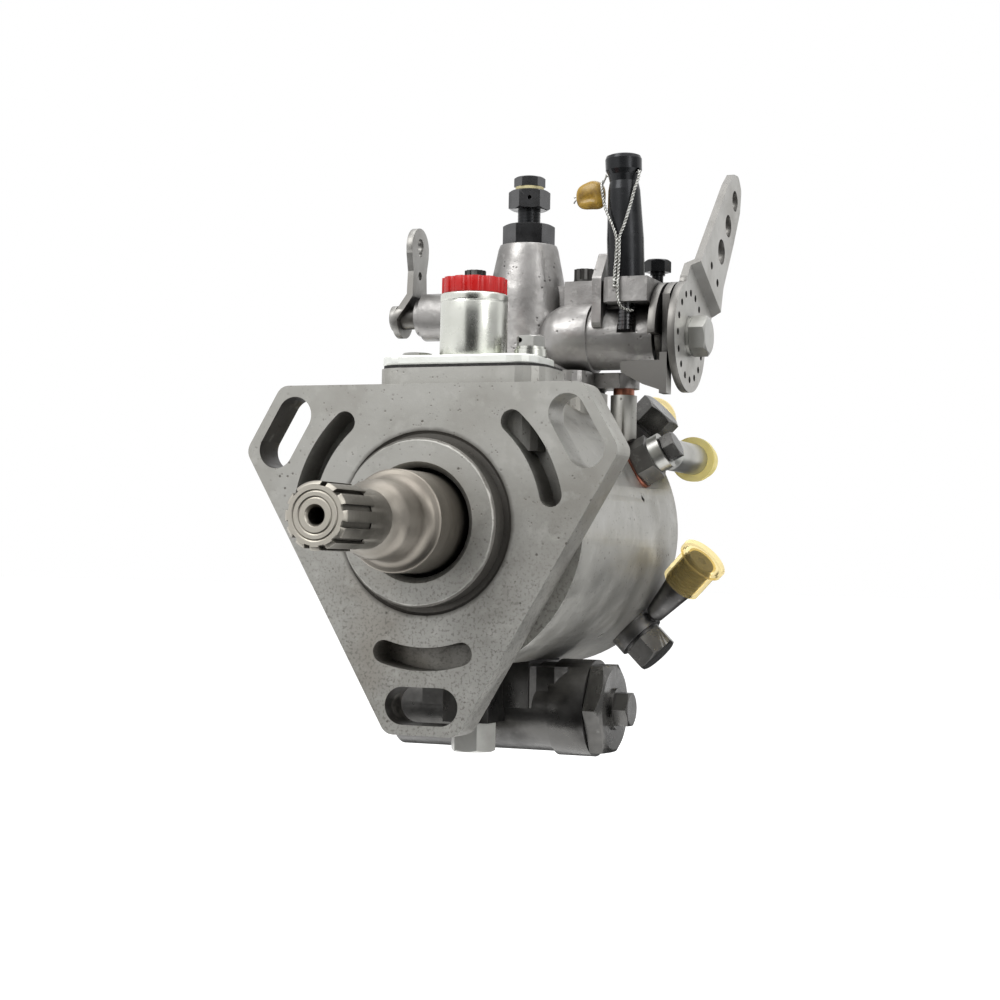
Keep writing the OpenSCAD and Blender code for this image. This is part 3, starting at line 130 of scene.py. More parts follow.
class Surface:
    """A principled material whose colour, roughness and relief come from layers of noise."""

    def __init__(self, name, colour, rough, metal=1.0):
        self.material = bpy.data.materials.new(name)
        self.material.use_nodes = True
        self.tree = self.material.node_tree
        self.shader = self.tree.nodes["Principled BSDF"]
        self.shader.inputs["Metallic"].default_value = metal
        self.shader.inputs["Roughness"].default_value = rough
        self.shader.inputs["Base Color"].default_value = colour
        self.base = colour
        self.colour = None
        self.heights = []
        coordinates = self.tree.nodes.new("ShaderNodeTexCoord")
        self.place = coordinates.outputs["Object"]
        self.normal = coordinates.outputs["Normal"]

    def noise(self, scale, detail=4.0, stretch=NO_STRETCH):
        where = self.place
        if stretch != NO_STRETCH:
            mapping = self.tree.nodes.new("ShaderNodeMapping")
            mapping.inputs["Scale"].default_value = stretch
            self.tree.links.new(where, mapping.inputs["Vector"])
            where = mapping.outputs["Vector"]
        node = self.tree.nodes.new("ShaderNodeTexNoise")
        node.inputs["Scale"].default_value = scale
        node.inputs["Detail"].default_value = detail
        node.inputs["Roughness"].default_value = NOISE_ROUGHNESS
        self.tree.links.new(where, node.inputs["Vector"])
        return node.outputs["Fac"]

    def ramp(self, value, low, high, start=0.0, end=1.0):
        """Goes from start to end while value goes from low to high."""
        node = self.tree.nodes.new("ShaderNodeMapRange")
        node.inputs["From Min"].default_value = low
        node.inputs["From Max"].default_value = high
        node.inputs["To Min"].default_value = start
        node.inputs["To Max"].default_value = end
        self.tree.links.new(value, node.inputs["Value"])
        return node.outputs["Result"]

    def maths(self, operation, first, second=0.0):
        node = self.tree.nodes.new("ShaderNodeMath")
        node.operation = operation
        for socket, value in zip(node.inputs, (first, second)):
            if isinstance(value, (int, float)):
                socket.default_value = value
            else:
                self.tree.links.new(value, socket)
        return node.outputs[0]

    def product(self, first, *others):
        for other in others:
            first = self.maths("MULTIPLY", first, other)
        return first

    def axes(self, vector):
        """The X, Y and Z of a place or a normal."""
        node = self.tree.nodes.new("ShaderNodeSeparateXYZ")
        self.tree.links.new(vector, node.inputs[0])
        return node.outputs

    def turned_from(self, axis):
        """1 on the surfaces that don't face along an axis, 0 on those that do."""
        size = self.maths("ABSOLUTE", self.axes(self.normal)[axis])
        return self.ramp(size, FACES_ALONG, FACES_ACROSS)

    def tint(self, mask, colour, amount):
        """Mixes colour over what is there, by a 0 to 1 mask times amount."""
        factor = self.product(mask, amount)
        mix = self.tree.nodes.new("ShaderNodeMix")
        mix.data_type = "RGBA"
        self.tree.links.new(factor, mix.inputs["Factor"])
        if self.colour is None:
            mix.inputs["A"].default_value = self.base
        else:
            self.tree.links.new(self.colour, mix.inputs["A"])
        mix.inputs["B"].default_value = colour
        self.colour = mix.outputs["Result"]
        return self

    def mottle(self, scale, colour, low, high, amount=1.0, stretch=NO_STRETCH):
        """Patches of colour where the noise goes from low to high."""
        return self.tint(self.ramp(self.noise(scale, stretch=stretch), low, high), colour, amount)

    def pits(self, scale, colour, size, amount, depth):
        """Small separate spots, such as nicks and pores, sunk by depth."""
        node = self.tree.nodes.new("ShaderNodeTexVoronoi")
        node.inputs["Scale"].default_value = scale
        self.tree.links.new(self.place, node.inputs["Vector"])
        spots = self.ramp(node.outputs["Distance"], low=size, high=size / 2)
        patches = self.ramp(self.noise(scale * PATCH_SCALE, detail=2.0), low=0.52, high=0.62)
        mask = self.product(spots, patches)
        self.heights.append((mask, -depth))
        return self.tint(mask, colour, amount)

    def shade_and_dirt_ring(self, inner, outer, depth, colour, amount):
        """A dark ring round the shaft axis, on the faces no further back than depth, all in metres, that
        paints the shade of a fillet at the spigot's foot, with some dirt.
        """
        x, y, z = self.axes(self.place)
        radius = self.maths("SQRT", self.maths("ADD", self.product(x, x), self.product(z, z)))
        ragged = self.maths("ADD", radius, self.product(self.noise(170, detail=3.0), RAGGED_EDGE))
        starts = self.ramp(ragged, inner - INNER_EDGE, inner)
        ends = self.ramp(ragged, outer + RAGGED_EDGE, outer)
        front = self.ramp(y, depth + DEPTH_EDGE, depth)
        return self.tint(self.product(starts, ends, front), colour, amount)

    def flange_speckle(self, colour, amount):
        """Rough specks low on the flange."""
        _, depth, height = self.axes(self.place)
        specks = self.ramp(self.noise(1150, detail=2.0), low=0.52, high=0.64)
        low = self.ramp(height, SMOOTH_ABOVE, SPECKLED_BELOW)
        front = self.maths("LESS_THAN", depth, FLANGE_DEPTH)
        return self.tint(self.product(specks, low, front), colour, amount)

    def shaded_slot_walls(self, colour, amount):
        """Painted shade on the walls of two of the flange's straight slots, broken up here and there by
        noise.
        """
        x, depth, z = self.axes(self.place)
        slots = 0.0
        for angle in SHADED_SLOTS:
            cosine = math.cos(math.radians(angle))
            sine = math.sin(math.radians(angle))
            outward = self.maths("ADD", self.product(x, cosine), self.product(z, sine))
            along = self.maths("SUBTRACT", self.product(z, cosine), self.product(x, sine))
            off_line = self.maths("ABSOLUTE", self.maths("SUBTRACT", outward, SLOT_RADIUS))
            in_width = self.maths("LESS_THAN", off_line, SLOT_HALF_WIDTH)
            in_length = self.maths("LESS_THAN", self.maths("ABSOLUTE", along), SLOT_HALF_LENGTH)
            slots = self.maths("ADD", self.product(in_width, in_length), slots)
        front = self.maths("LESS_THAN", depth, FLANGE_DEPTH)
        kept = self.ramp(self.noise(140, detail=3.0), low=0.2, high=0.42)
        return self.tint(self.product(slots, self.turned_from("Y"), front, kept), colour, amount)

    def end_tint(self, axis, start, full, colour, amount):
        """A colour that comes in along one axis, between two places in metres."""
        return self.tint(self.ramp(self.axes(self.place)[axis], start, full), colour, amount)

    def edge_shade(self, axis, colour, amount):
        """Painted shade on the surfaces that don't face along one axis, such as the edges of a plate."""
        return self.tint(self.turned_from(axis), colour, amount)

    def corner_shade_and_grime(self, reach, colour, amount, dark=0.25, unshaded=0.6):
        """Painted shade, with some dirt, in the corners, holes and slots that are within reach of another
        surface.
        """
        node = self.tree.nodes.new("ShaderNodeAmbientOcclusion")
        node.samples = CORNER_SAMPLES
        node.inputs["Distance"].default_value = reach
        blotches = self.product(self.noise(300, detail=3.0), CORNER_NOISE)
        ragged = self.maths("ADD", node.outputs["AO"], blotches)
        middle = CORNER_NOISE / 2
        return self.tint(self.ramp(ragged, unshaded + middle, dark + middle), colour, amount)

    def uneven(self, scale, low, high, stretch=NO_STRETCH):
        """Roughness that varies between two values."""
        rough = self.ramp(self.noise(scale, 5.0, stretch), NOISE_LOW, NOISE_HIGH, low, high)
        self.tree.links.new(rough, self.shader.inputs["Roughness"])
        return self

    def relief(self, scale, height, detail=5.0, stretch=NO_STRETCH):
        self.heights.append((self.noise(scale, detail, stretch), height))
        return self

    def done(self):
        """Links the colour and the relief to the shader. A height below zero is sunk."""
        if self.colour is not None:
            self.tree.links.new(self.colour, self.shader.inputs["Base Color"])
        normal = None
        for value, height in self.heights:
            bump = self.tree.nodes.new("ShaderNodeBump")
            bump.inputs["Distance"].default_value = abs(height)
            bump.inputs["Strength"].default_value = 1.0
            bump.invert = height < 0
            self.tree.links.new(value, bump.inputs["Height"])
            if normal is not None:
                self.tree.links.new(normal, bump.inputs["Normal"])
            normal = bump.outputs["Normal"]
        if normal is not None:
            self.tree.links.new(normal, self.shader.inputs["Normal"])
        return self.material


# In the materials below, the corner layer paints shade, with some dirt, into corners, holes and slots
casting = (
    Surface("cast_alloy", rgb(172, 171, 166), 0.42, 0.75)
    .mottle(38, rgb(152, 150, 144), 0.42, 0.68)
    .mottle(160, rgb(190, 189, 184), 0.55, 0.75, 0.6)
    .mottle(24, rgb(142, 132, 118), 0.58, 0.8, 0.55)
    .pits(420, rgb(92, 88, 82), 0.2, 0.8, 0.00005)
    .pits(900, rgb(104, 100, 94), 0.3, 0.6, 0.00003)
    .mottle(1300, rgb(205, 204, 200), 0.68, 0.74, 0.5)
    # A painted ring of shade, with some dirt, round the spigot's foot
    .shade_and_dirt_ring(0.0232, 0.0258, 0.001, rgb(62, 58, 53), 0.8)
    .flange_speckle(rgb(108, 105, 100), 0.55)
    .corner_shade_and_grime(0.011, rgb(84, 81, 77), 0.6, 0.3, 0.58)
    # Painted shade on the walls of two of the flange's slots
    .shaded_slot_walls(rgb(52, 49, 47), 0.9)
    .uneven(90, 0.34, 0.55)
    .relief(700, 0.00003)
    .relief(120, 0.00008)
    .done()
)
dark_casting = (
    Surface("sand_cast_alloy", rgb(160, 158, 156), 0.42, 0.75)
    .mottle(60, rgb(122, 120, 118), 0.4, 0.66)
    .mottle(210, rgb(190, 188, 185), 0.58, 0.74, 0.6)
    .pits(520, rgb(46, 44, 42), 0.25, 0.8, 0.00008)
    .corner_shade_and_grime(0.005, rgb(50, 48, 45), 0.85)
    .uneven(120, 0.28, 0.48)
    .relief(420, 0.00012)
    .relief(1500, 0.00004)
    .done()
)
advance_casting = (
    Surface("dark_cast_iron", rgb(92, 91, 89), 0.34, 0.88)
    .mottle(70, rgb(54, 53, 52), 0.4, 0.66)
    .mottle(260, rgb(92, 91, 90), 0.58, 0.74, 0.5)
    .uneven(120, 0.24, 0.42)
    .relief(500, 0.00006)
    .done()
)
nut_steel = (
    Surface("blackened_nut_steel", rgb(98, 97, 95), 0.28, 0.95)
    .mottle(80, rgb(72, 71, 69), 0.4, 0.66)
    .mottle(420, rgb(146, 145, 142), 0.6, 0.74, 0.4)
    .corner_shade_and_grime(0.003, rgb(30, 29, 28), 0.8)
    .uneven(140, 0.22, 0.36)
    .relief(700, 0.00002)
    .done()
)
shaft_steel = (
    Surface("turned_steel", rgb(124, 121, 114), 0.32)
    .mottle(50, rgb(98, 94, 87), 0.4, 0.66, 0.8)
    .mottle(900, rgb(150, 146, 138), 0.5, 0.8, 0.35, (1, 12, 1))
    # A light tan band that paints a highlight on the shaft's step
    .end_tint("Y", -0.040, -0.034, rgb(150, 142, 132), 0.4)
    .end_tint("Y", -0.0650, -0.0664, rgb(196, 191, 180), 0.85)
    .corner_shade_and_grime(0.004, rgb(40, 38, 35), 0.9)
    .uneven(60, 0.36, 0.5, (1, 8, 1))
    .relief(500, 0.00001, 3.0, (1, 14, 1))
    .done()
)
steel = (
    Surface("ground_steel", rgb(150, 148, 144), 0.3)
    .mottle(80, rgb(118, 114, 108), 0.42, 0.7, 0.7)
    .uneven(140, 0.24, 0.42)
    .relief(900, 0.00001)
    .done()
)
dark_steel = (
    Surface("phosphated_steel", rgb(98, 97, 96), 0.4, 0.9)
    .mottle(90, rgb(70, 69, 68), 0.4, 0.65)
    .mottle(520, rgb(132, 130, 128), 0.6, 0.74, 0.45)
    .corner_shade_and_grime(0.002, rgb(24, 23, 22), 0.8)
    .uneven(160, 0.3, 0.5)
    .relief(900, 0.00003)
    .done()
)
zinc = (
    Surface("zinc_plate", rgb(216, 217, 210), 0.26)
    .mottle(70, rgb(200, 202, 192), 0.42, 0.7, 0.7)
    .mottle(400, rgb(182, 183, 174), 0.62, 0.76, 0.4)
    .corner_shade_and_grime(0.002, rgb(60, 58, 52), 0.7)
    .uneven(110, 0.2, 0.34)
    .relief(700, 0.000008)
    .done()
)
lever_zinc = (
    Surface("dull_zinc_plate", rgb(176, 175, 171), 0.42, 0.85)
    .mottle(60, rgb(154, 152, 147), 0.42, 0.68)
    .mottle(420, rgb(196, 195, 191), 0.58, 0.74, 0.4)
    .pits(700, rgb(104, 101, 95), 0.2, 0.5, 0.00002)
    # Painted shade on the lever's edges
    .edge_shade("X", rgb(104, 102, 99), 0.85)
    .corner_shade_and_grime(0.009, rgb(26, 24, 22), 0.97, 0.42, 0.72)
    .uneven(130, 0.34, 0.5)
    .relief(800, 0.00001)
    .done()
)
plate_zinc = (
    Surface("dull_bright_zinc", rgb(236, 238, 233), 0.44, 0.35)
    .mottle(90, rgb(222, 224, 216), 0.42, 0.7)
    .mottle(500, rgb(196, 196, 188), 0.64, 0.76, 0.5)
    .corner_shade_and_grime(0.002, rgb(60, 58, 52), 0.7)
    .uneven(120, 0.34, 0.52)
    .done()
)
screw_zinc = (
    Surface("grey_zinc", rgb(176, 176, 172), 0.34, 0.95)
    .mottle(80, rgb(150, 149, 144), 0.42, 0.68)
    .corner_shade_and_grime(0.002, rgb(24, 23, 22), 0.9)
    .uneven(140, 0.28, 0.42)
    .done()
)
stop_steel = (
    Surface("plain_sheet_steel", rgb(158, 157, 154), 0.4, 0.9)
    .mottle(70, rgb(130, 128, 124), 0.42, 0.66)
    .corner_shade_and_grime(0.007, rgb(40, 38, 35), 0.9, 0.4, 0.7)
    .uneven(130, 0.34, 0.5)
    .relief(800, 0.00001)
    .done()
)
satin_steel = (
    Surface("satin_steel", rgb(92, 92, 93), 0.26, 0.95)
    .mottle(90, rgb(68, 68, 69), 0.42, 0.68, 0.8)
    .corner_shade_and_grime(0.002, rgb(20, 20, 20), 0.85)
    .uneven(140, 0.18, 0.32)
    .relief(700, 0.00001)
    .done()
)
black_metal = (
    Surface("black_finish", rgb(30, 31, 33), 0.26, 0.6)
    .mottle(80, rgb(40, 41, 43), 0.45, 0.7, 0.7)
    .mottle(600, rgb(62, 62, 64), 0.66, 0.74, 0.4)
    .uneven(120, 0.18, 0.36)
    .relief(500, 0.00002)
    .done()
)
copper = (
    Surface("soft_copper", rgb(166, 112, 92), 0.38)
    .mottle(120, rgb(118, 64, 54), 0.42, 0.7, 0.85)
    .uneven(200, 0.28, 0.46)
    .done()
)
bronze = Surface("bush_bronze", rgb(176, 140, 92), 0.34).mottle(120, rgb(140, 108, 66), 0.4, 0.7).done()
wire_zinc = (
    Surface("wire_zinc", rgb(190, 190, 186), 0.26)
    .mottle(900, rgb(120, 118, 112), 0.5, 0.7, 0.8)
    .done()
)
red_plastic = (
    Surface("red_moulding", rgb(190, 22, 20), 0.28, 0.0)
    .mottle(90, rgb(168, 16, 16), 0.4, 0.7, 0.7)
    .corner_shade_and_grime(0.0016, rgb(96, 10, 10), 0.7)
    .uneven(160, 0.22, 0.36)
    .relief(900, 0.00001)
    .done()
)
fibre = (
    Surface("gasket_fibre", rgb(34, 33, 33), 0.8, 0.0)
    .mottle(900, rgb(58, 56, 54), 0.5, 0.7)
    .relief(1500, 0.00003)
    .done()
)
mustard = (
    Surface("mustard_plastic", rgb(168, 134, 46), 0.32, 0.0)
    .mottle(260, rgb(112, 84, 24), 0.44, 0.64, 0.9)
    .relief(300, 0.00012)
    .done()
)
pale_ring = (
    Surface("pale_yellow_ring", rgb(206, 196, 150), 0.6, 0.0)
    .mottle(600, rgb(150, 140, 100), 0.5, 0.7, 0.6)
    .done()
)

THIN_WALL_IOR = 1.06
PATCH_SHADE = 0.86


def clear_plastic(name, colour, transmission):
    """Thin translucent plastic with slightly darker patches."""
    surface = Surface(name, colour, 0.14, 0.0)
    surface.shader.inputs["Transmission Weight"].default_value = transmission
    surface.shader.inputs["IOR"].default_value = THIN_WALL_IOR
    darker = tuple(PATCH_SHADE * part for part in colour[:3]) + (1.0,)
    return surface.mottle(200, darker, 0.42, 0.7, 0.6).done()


amber = clear_plastic("amber_plastic", rgb(242, 224, 168), 0.92)
cream = clear_plastic("cream_plastic", rgb(240, 228, 160), 0.35)

FINISH = {
    casting: ["main_housing", "end_plate"],
    dark_casting: ["governor_housing"],
    advance_casting: ["advance_housing"],
    nut_steel: [
        "advance_cap_nut", "advance_plug", "outlet_bolts", "head_locking_screw", "bleed_bolt",
        "governor_screws",
    ],
    satin_steel: ["gland_nut", "stem_nut", "vent_screw", "max_speed_screw"],
    shaft_steel: ["drive_shaft"],
    steel: [
        "hydraulic_head", "transfer_liner", "advance_spring", "drive_plate", "rotor", "plungers",
        "roller_shoes", "rollers", "transfer_rotor", "transfer_blades", "cam_ring", "advance_piston",
        "metering_valve", "governor_spring",
    ],
    dark_steel: [
        "head_locating_fitting", "end_plate_screws", "regulating_valve", "inlet_union", "outlet_banjos",
        "outlet_washers", "advance_end_plug",
    ],
    zinc: ["adapter_tube", "plate_washers"],
    plate_zinc: ["top_plate"],
    screw_zinc: ["plate_screws", "advance_nut", "bleed_banjo", "throttle_shaft"],
    lever_zinc: ["throttle_lever"],
    stop_steel: ["stop_lever"],
    black_metal: ["governor_stem", "max_speed_cap", "idle_screw"],
    copper: ["copper_washers"],
    bronze: ["shaft_bush"],
    red_plastic: ["red_plug"],
    fibre: ["shaft_seal", "end_plate_oring", "top_gasket", "housing_gaskets"],
    mustard: ["wire_seal"],
    pale_ring: ["vent_ring"],
    wire_zinc: ["seal_wire"],
    amber: ["outlet_caps"],
    cream: ["bleed_cap"],
}

for material, names in FINISH.items():
    for name in names:
        node = nodes[name]
        node.data.materials.clear()
        node.data.materials.append(material)


# Small pieces
def add_mesh(name, shape, material):
    """A smooth piece on the body that stands still, made from a bmesh in metres."""
    mesh = bpy.data.meshes.new(name)
    bmesh.ops.recalc_face_normals(shape, faces=shape.faces)
    for face in shape.faces:
        face.smooth = True
    shape.to_mesh(mesh)
    shape.free()
    obj = bpy.data.objects.new(name, mesh)
    bpy.context.scene.collection.objects.link(obj)
    mesh.materials.append(material)
    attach(obj, "pump")
    return obj


def skin(shape, rings):
    """Faces between closed rings of vertices, and over both ends."""
    sides = len(rings[0])
    for ring, following in zip(rings, rings[1:]):
        for this in range(sides):
            beside = (this + 1) % sides
            shape.faces.new((ring[this], ring[beside], following[beside], following[this]))
    shape.faces.new(rings[0][::-1])
    shape.faces.new(rings[-1])


def frames(points):
    """Each point of a path with two directions across it, which turn as little as they can."""
    last = len(points) - 1
    side = (points[1] - points[0]).normalized().orthogonal().normalized()
    for i, point in enumerate(points):
        along = (points[min(i + 1, last)] - points[max(i - 1, 0)]).normalized()
        side = (side - along * side.dot(along)).normalized()
        yield point, side, along.cross(side)


def at_angle(side, other, angle):
    """The direction at an angle from side towards other."""
    return math.cos(angle) * side + math.sin(angle) * other


TUBE_SIDES = 6


def tube(shape, points, radius):
    """A closed tube along points that doesn't pinch."""
    skin(shape, [
        [
            shape.verts.new(point + radius * at_angle(side, other, 2 * math.pi * corner / TUBE_SIDES))
            for corner in range(TUBE_SIDES)
        ]
        for point, side, other in frames(points)
    ])


CURVE_STEPS = 24


def smooth_path(points, step):
    """Evenly spaced points on a Catmull-Rom curve through points."""
    last = len(points) - 1
    fine = []
    for i in range(last):
        before, start = points[max(i - 1, 0)], points[i]
        end, after = points[i + 1], points[min(i + 2, last)]
        for j in range(CURVE_STEPS):
            t = j / CURVE_STEPS
            fine.append(0.5 * (
                2 * start + (end - before) * t + (2 * before - 5 * start + 4 * end - after) * t * t
                + (3 * start - before - 3 * end + after) * t ** 3
            ))
    fine.append(points[-1])
    even, left = [fine[0]], step
    for here, there in zip(fine, fine[1:]):
        length = (there - here).length
        while left <= length and length > 0:
            even.append(here + (there - here) * (left / length))
            left += step
        left -= length
    return even


STRAND_RADIUS = 0.26 * MM
TWIST_PITCH = 2.1 * MM
TWIST_STEP = 0.21 * MM


def twisted(shape, points):
    """Two strands of wire wound round each other along points."""
    strands = ([], [])
    for i, (point, side, other) in enumerate(frames(smooth_path(points, TWIST_STEP))):
        off = STRAND_RADIUS * at_angle(side, other, 2 * math.pi * i * TWIST_STEP / TWIST_PITCH)
        strands[0].append(point + off)
        strands[1].append(point - off)
    for strand in strands:
        tube(shape, strand, STRAND_RADIUS)


# The tamper cap leans a little towards -X. Its X and Y are those at the shelf's top, in mm.
CAP_AXIS = (36.8, 61.0)
SHELF_TOP = 74.2
HOLE_Z = 105.8
LEAN = math.tan(math.radians(2.4))


def near_cap(angle, radius, drop):
    """The place at an angle in degrees and a radius round the cap, a drop below its wire hole, in mm."""
    turn = math.radians(angle)
    z = HOLE_Z - drop
    x = CAP_AXIS[0] - LEAN * (z - SHELF_TOP)
    return Vector((x + radius * math.cos(turn), CAP_AXIS[1] + radius * math.sin(turn), z)) * MM


# The wire's way through the hole and down both sides of the cap, as near_cap takes it
WIRE_RIGHT = [
    (161, 6.8, 0), (161, 4, 0), (-19, 4, 0), (-19, 5.7, 0), (-26, 6.1, 1.4), (-34, 6.1, 3.6), (-44, 6.2, 6),
    (-58, 6.2, 11), (-75, 6.2, 16.5), (-88, 6.2, 20), (-90, 6.3, 25), (-93, 6.7, 31), (-95, 7.0, 35),
    (-95, 6.9, 38.5), (-90, 5.6, 40.6), (-70, 3.9, 41.2), (-45, 4.2, 41.4),
]
WIRE_LEFT = [
    (174, 7.0, 2), (-160, 6.6, 4.5), (-152, 6.3, 8), (-138, 6.2, 11), (-118, 6.2, 14.5), (-103, 6.2, 18),
    (-97, 6.2, 21), (-99, 6.4, 26), (-102, 6.9, 31), (-104, 7.0, 35),
]

# The coil where both sides meet: its place as near_cap takes it, and its form in mm and radians
KNOT_PLACE = (-100, 6.9, 33.5)
KNOT_POINTS = 16
KNOT_TURN = 0.9
KNOT_WIDTH = 0.9
KNOT_DEPTH = 0.7
KNOT_TOP = 1.6
KNOT_DROP = 0.22
KNOT_STEP = 0.2 * MM
KNOT_RADIUS = 0.27 * MM


def knot_point(number):
    turn = number * KNOT_TURN
    return near_cap(*KNOT_PLACE) + MM * Vector((
        math.cos(turn) * KNOT_WIDTH, math.sin(turn) * KNOT_DEPTH, KNOT_TOP - number * KNOT_DROP,
    ))


def seal_wire():
    wire = bmesh.new()
    for way in (WIRE_RIGHT, WIRE_LEFT):
        twisted(wire, [near_cap(*place) for place in way])
    tube(wire, smooth_path([knot_point(number) for number in range(KNOT_POINTS)], KNOT_STEP), KNOT_RADIUS)
    obj = add_mesh("twisted_seal_wire", wire, wire_zinc)
    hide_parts("seal_wire")


SEAL_SQUARENESS = 0.55
SEAL_BULGE = 0.75
SEAL_WAVE = 0.2 * MM
WAVE_TURN = 4
WAVE_START = 1
THICKNESS_TAPER = 0.2
HEIGHT_TAPER = 0.1
TINY = 1e-6
CRIMP_DEPTH = 0.42
CRIMP_HEIGHT = -0.25
CRIMP_WIDTH = 0.16
CRIMP_END = 0.4


def crimped(unit, half):
    """A point of the unit sphere moved to the crimped, rounded block that has these half sizes."""
    flat = math.hypot(unit.x, unit.z)
    to_square = max(unit.x ** 4 + unit.z ** 4, TINY) ** -0.25
    square = 1 + SEAL_SQUARENESS * (to_square * flat - 1)
    crimp = 1.0
    if unit.x < CRIMP_END:
        crimp -= CRIMP_DEPTH * math.exp(-((unit.z - CRIMP_HEIGHT) / CRIMP_WIDTH) ** 2)
    thickness = math.copysign(abs(unit.y) ** SEAL_BULGE, unit.y) * half.y
    thinner = 1 - THICKNESS_TAPER + THICKNESS_TAPER * unit.x
    lower = 1 - HEIGHT_TAPER + HEIGHT_TAPER * unit.x
    wave = SEAL_WAVE * math.sin(WAVE_TURN * unit.x + WAVE_START)
    return Vector((
        unit.x * square * half.x, thickness * crimp * thinner, unit.z * square * half.z * lower + wave,
    ))


TAIL_STEP = 0.12 * MM
TAIL_RADIUS = 0.24 * MM
LEAD_STEP = 0.2 * MM
LEAD_RADIUS = 0.3 * MM


def wire_seal():
    """The crimped plastic seal, two wire ends on its left and the wire from it to the cap's hole."""
    low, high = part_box("wire_seal")
    centre, half = (low + high) / 2, (high - low) / 2
    seal = bmesh.new()
    bmesh.ops.create_uvsphere(seal, u_segments=40, v_segments=20, radius=1)
    for vertex in seal.verts:
        vertex.co = centre + crimped(vertex.co, half)
    obj = add_mesh("crimped_seal", seal, mustard)
    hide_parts("wire_seal")
    ends = bmesh.new()
    for lift, drop in ((0.0, -0.9), (0.7, 0.2)):
        start = Vector((low.x, centre.y, centre.z)) + MM * Vector((0.6, 0, lift - 1.2))
        bend = start + MM * Vector((-0.7, 0.1, 0.35 + drop * 0.2))
        tip = start + MM * Vector((-1.5, 0.2, drop))
        tube(ends, smooth_path([start, bend, tip], TAIL_STEP), TAIL_RADIUS)
    hole = near_cap(161, 6.4, 0)
    start = Vector((high.x, centre.y, high.z)) + MM * Vector((-0.8, 0, -1.2))
    bend = (hole + centre) / 2 + MM * Vector((2, 0, 2))
    tube(ends, smooth_path([start, bend, hole], LEAD_STEP), LEAD_RADIUS)
    add_mesh("seal_wire_ends", ends, wire_zinc)


# The stem's thread, in mm. The profile's places along the stem are parts of the pitch.
STEM_FOOT = (0, 76, 94.8)
THREAD_RADIUS = 3.36
THREAD_ROOT = -0.15
THREAD_CREST = 0.2
THREAD_PITCH = 0.9
THREAD_LENGTH = 4.0
STEPS_PER_TURN = 28
FADE_STEPS = 10


def stem_thread():
    """A raised thread on the plain stem, with crests that fade out at both ends."""
    thread = bmesh.new()
    count = int(THREAD_LENGTH / THREAD_PITCH * STEPS_PER_TURN)
    rows = []
    for step in range(count + 1):
        turn = 2 * math.pi * step / STEPS_PER_TURN
        crest = THREAD_CREST * min(1.0, step / FADE_STEPS, (count - step) / FADE_STEPS)
        row = []
        for out, along in ((THREAD_ROOT, -0.46), (crest, -0.08), (crest, 0.08), (THREAD_ROOT, 0.46)):
            radius = THREAD_RADIUS + out
            height = THREAD_PITCH * (step / STEPS_PER_TURN + along)
            point = Vector((radius * math.cos(turn), radius * math.sin(turn), height))
            row.append(thread.verts.new((Vector(STEM_FOOT) + point) * MM))
        rows.append(row)
    skin(thread, rows)
    add_mesh("stem_thread", thread, black_metal)


seal_wire()
wire_seal()
stem_thread()

# The width of each node's rounded edges, in mm
EDGE = {
    "main_housing": 0.5, "governor_housing": 0.7, "end_plate": 0.4, "advance_housing": 0.4,
    "outlet_bolts": 0.22, "head_locking_screw": 0.22, "advance_cap_nut": 0.3, "throttle_lever": 0.12,
    "top_plate": 0.5, "red_plug": 0.3, "drive_shaft": 0.2, "advance_nut": 0.25, "stop_lever": 0.3,
    "gland_nut": 0.2, "stem_nut": 0.2, "outlet_banjos": 0.3, "bleed_bolt": 0.2, "adapter_tube": 0.2,
}
WELD_REACH = 0.002 * MM
SHARP_ANGLE = math.radians(32)


def soften(node, width):
    """Rounds a node's edges a little, without touching its own mesh."""
    weld = node.modifiers.new("weld", "WELD")
    weld.merge_threshold = WELD_REACH
    bevel = node.modifiers.new("bevel", "BEVEL")
    bevel.width = width * MM
    bevel.segments = 2
    bevel.limit_method = "ANGLE"
    bevel.angle_limit = SHARP_ANGLE
    bevel.harden_normals = False
    bevel.use_clamp_overlap = True


for name, width in EDGE.items():
    soften(nodes[name], width)


# Floor, lamps and background
def plain_sheet(name, size, place, material):
    """A square of the stage that reaches size metres to each side of its middle."""
    shape = bmesh.new()
    bmesh.ops.create_grid(shape, x_segments=1, y_segments=1, size=size)
    mesh = bpy.data.meshes.new(name)
    shape.to_mesh(mesh)
    shape.free()
    obj = bpy.data.objects.new(name, mesh)
    obj.matrix_world = place
    mesh.materials.append(material)
    bpy.context.scene.collection.objects.link(obj)
    return obj


def seen_directly(tree):
    """1 for camera, glossy and transmission rays, 0 for the rest."""
    path = tree.nodes.new("ShaderNodeLightPath")
    total = path.outputs["Is Camera Ray"]
    for ray in ("Is Glossy Ray", "Is Transmission Ray"):
        node = tree.nodes.new("ShaderNodeMath")
        node.operation = "MAXIMUM"
        tree.links.new(total, node.inputs[0])
        tree.links.new(path.outputs[ray], node.inputs[1])
        total = node.outputs[0]
    return total


def mixed(tree, lit, seen, output):
    """Gives the output one shader where light is gathered, and another where it is seen directly."""
    mix = tree.nodes.new("ShaderNodeMixShader")
    tree.links.new(seen_directly(tree), mix.inputs["Fac"])
    tree.links.new(lit.outputs[0], mix.inputs[1])
    tree.links.new(seen.outputs[0], mix.inputs[2])
    tree.links.new(mix.outputs[0], tree.nodes[output].inputs["Surface"])


FLOOR_GREY = (0.85, 0.85, 0.85, 1)
FLOOR_GLOW = 0.75


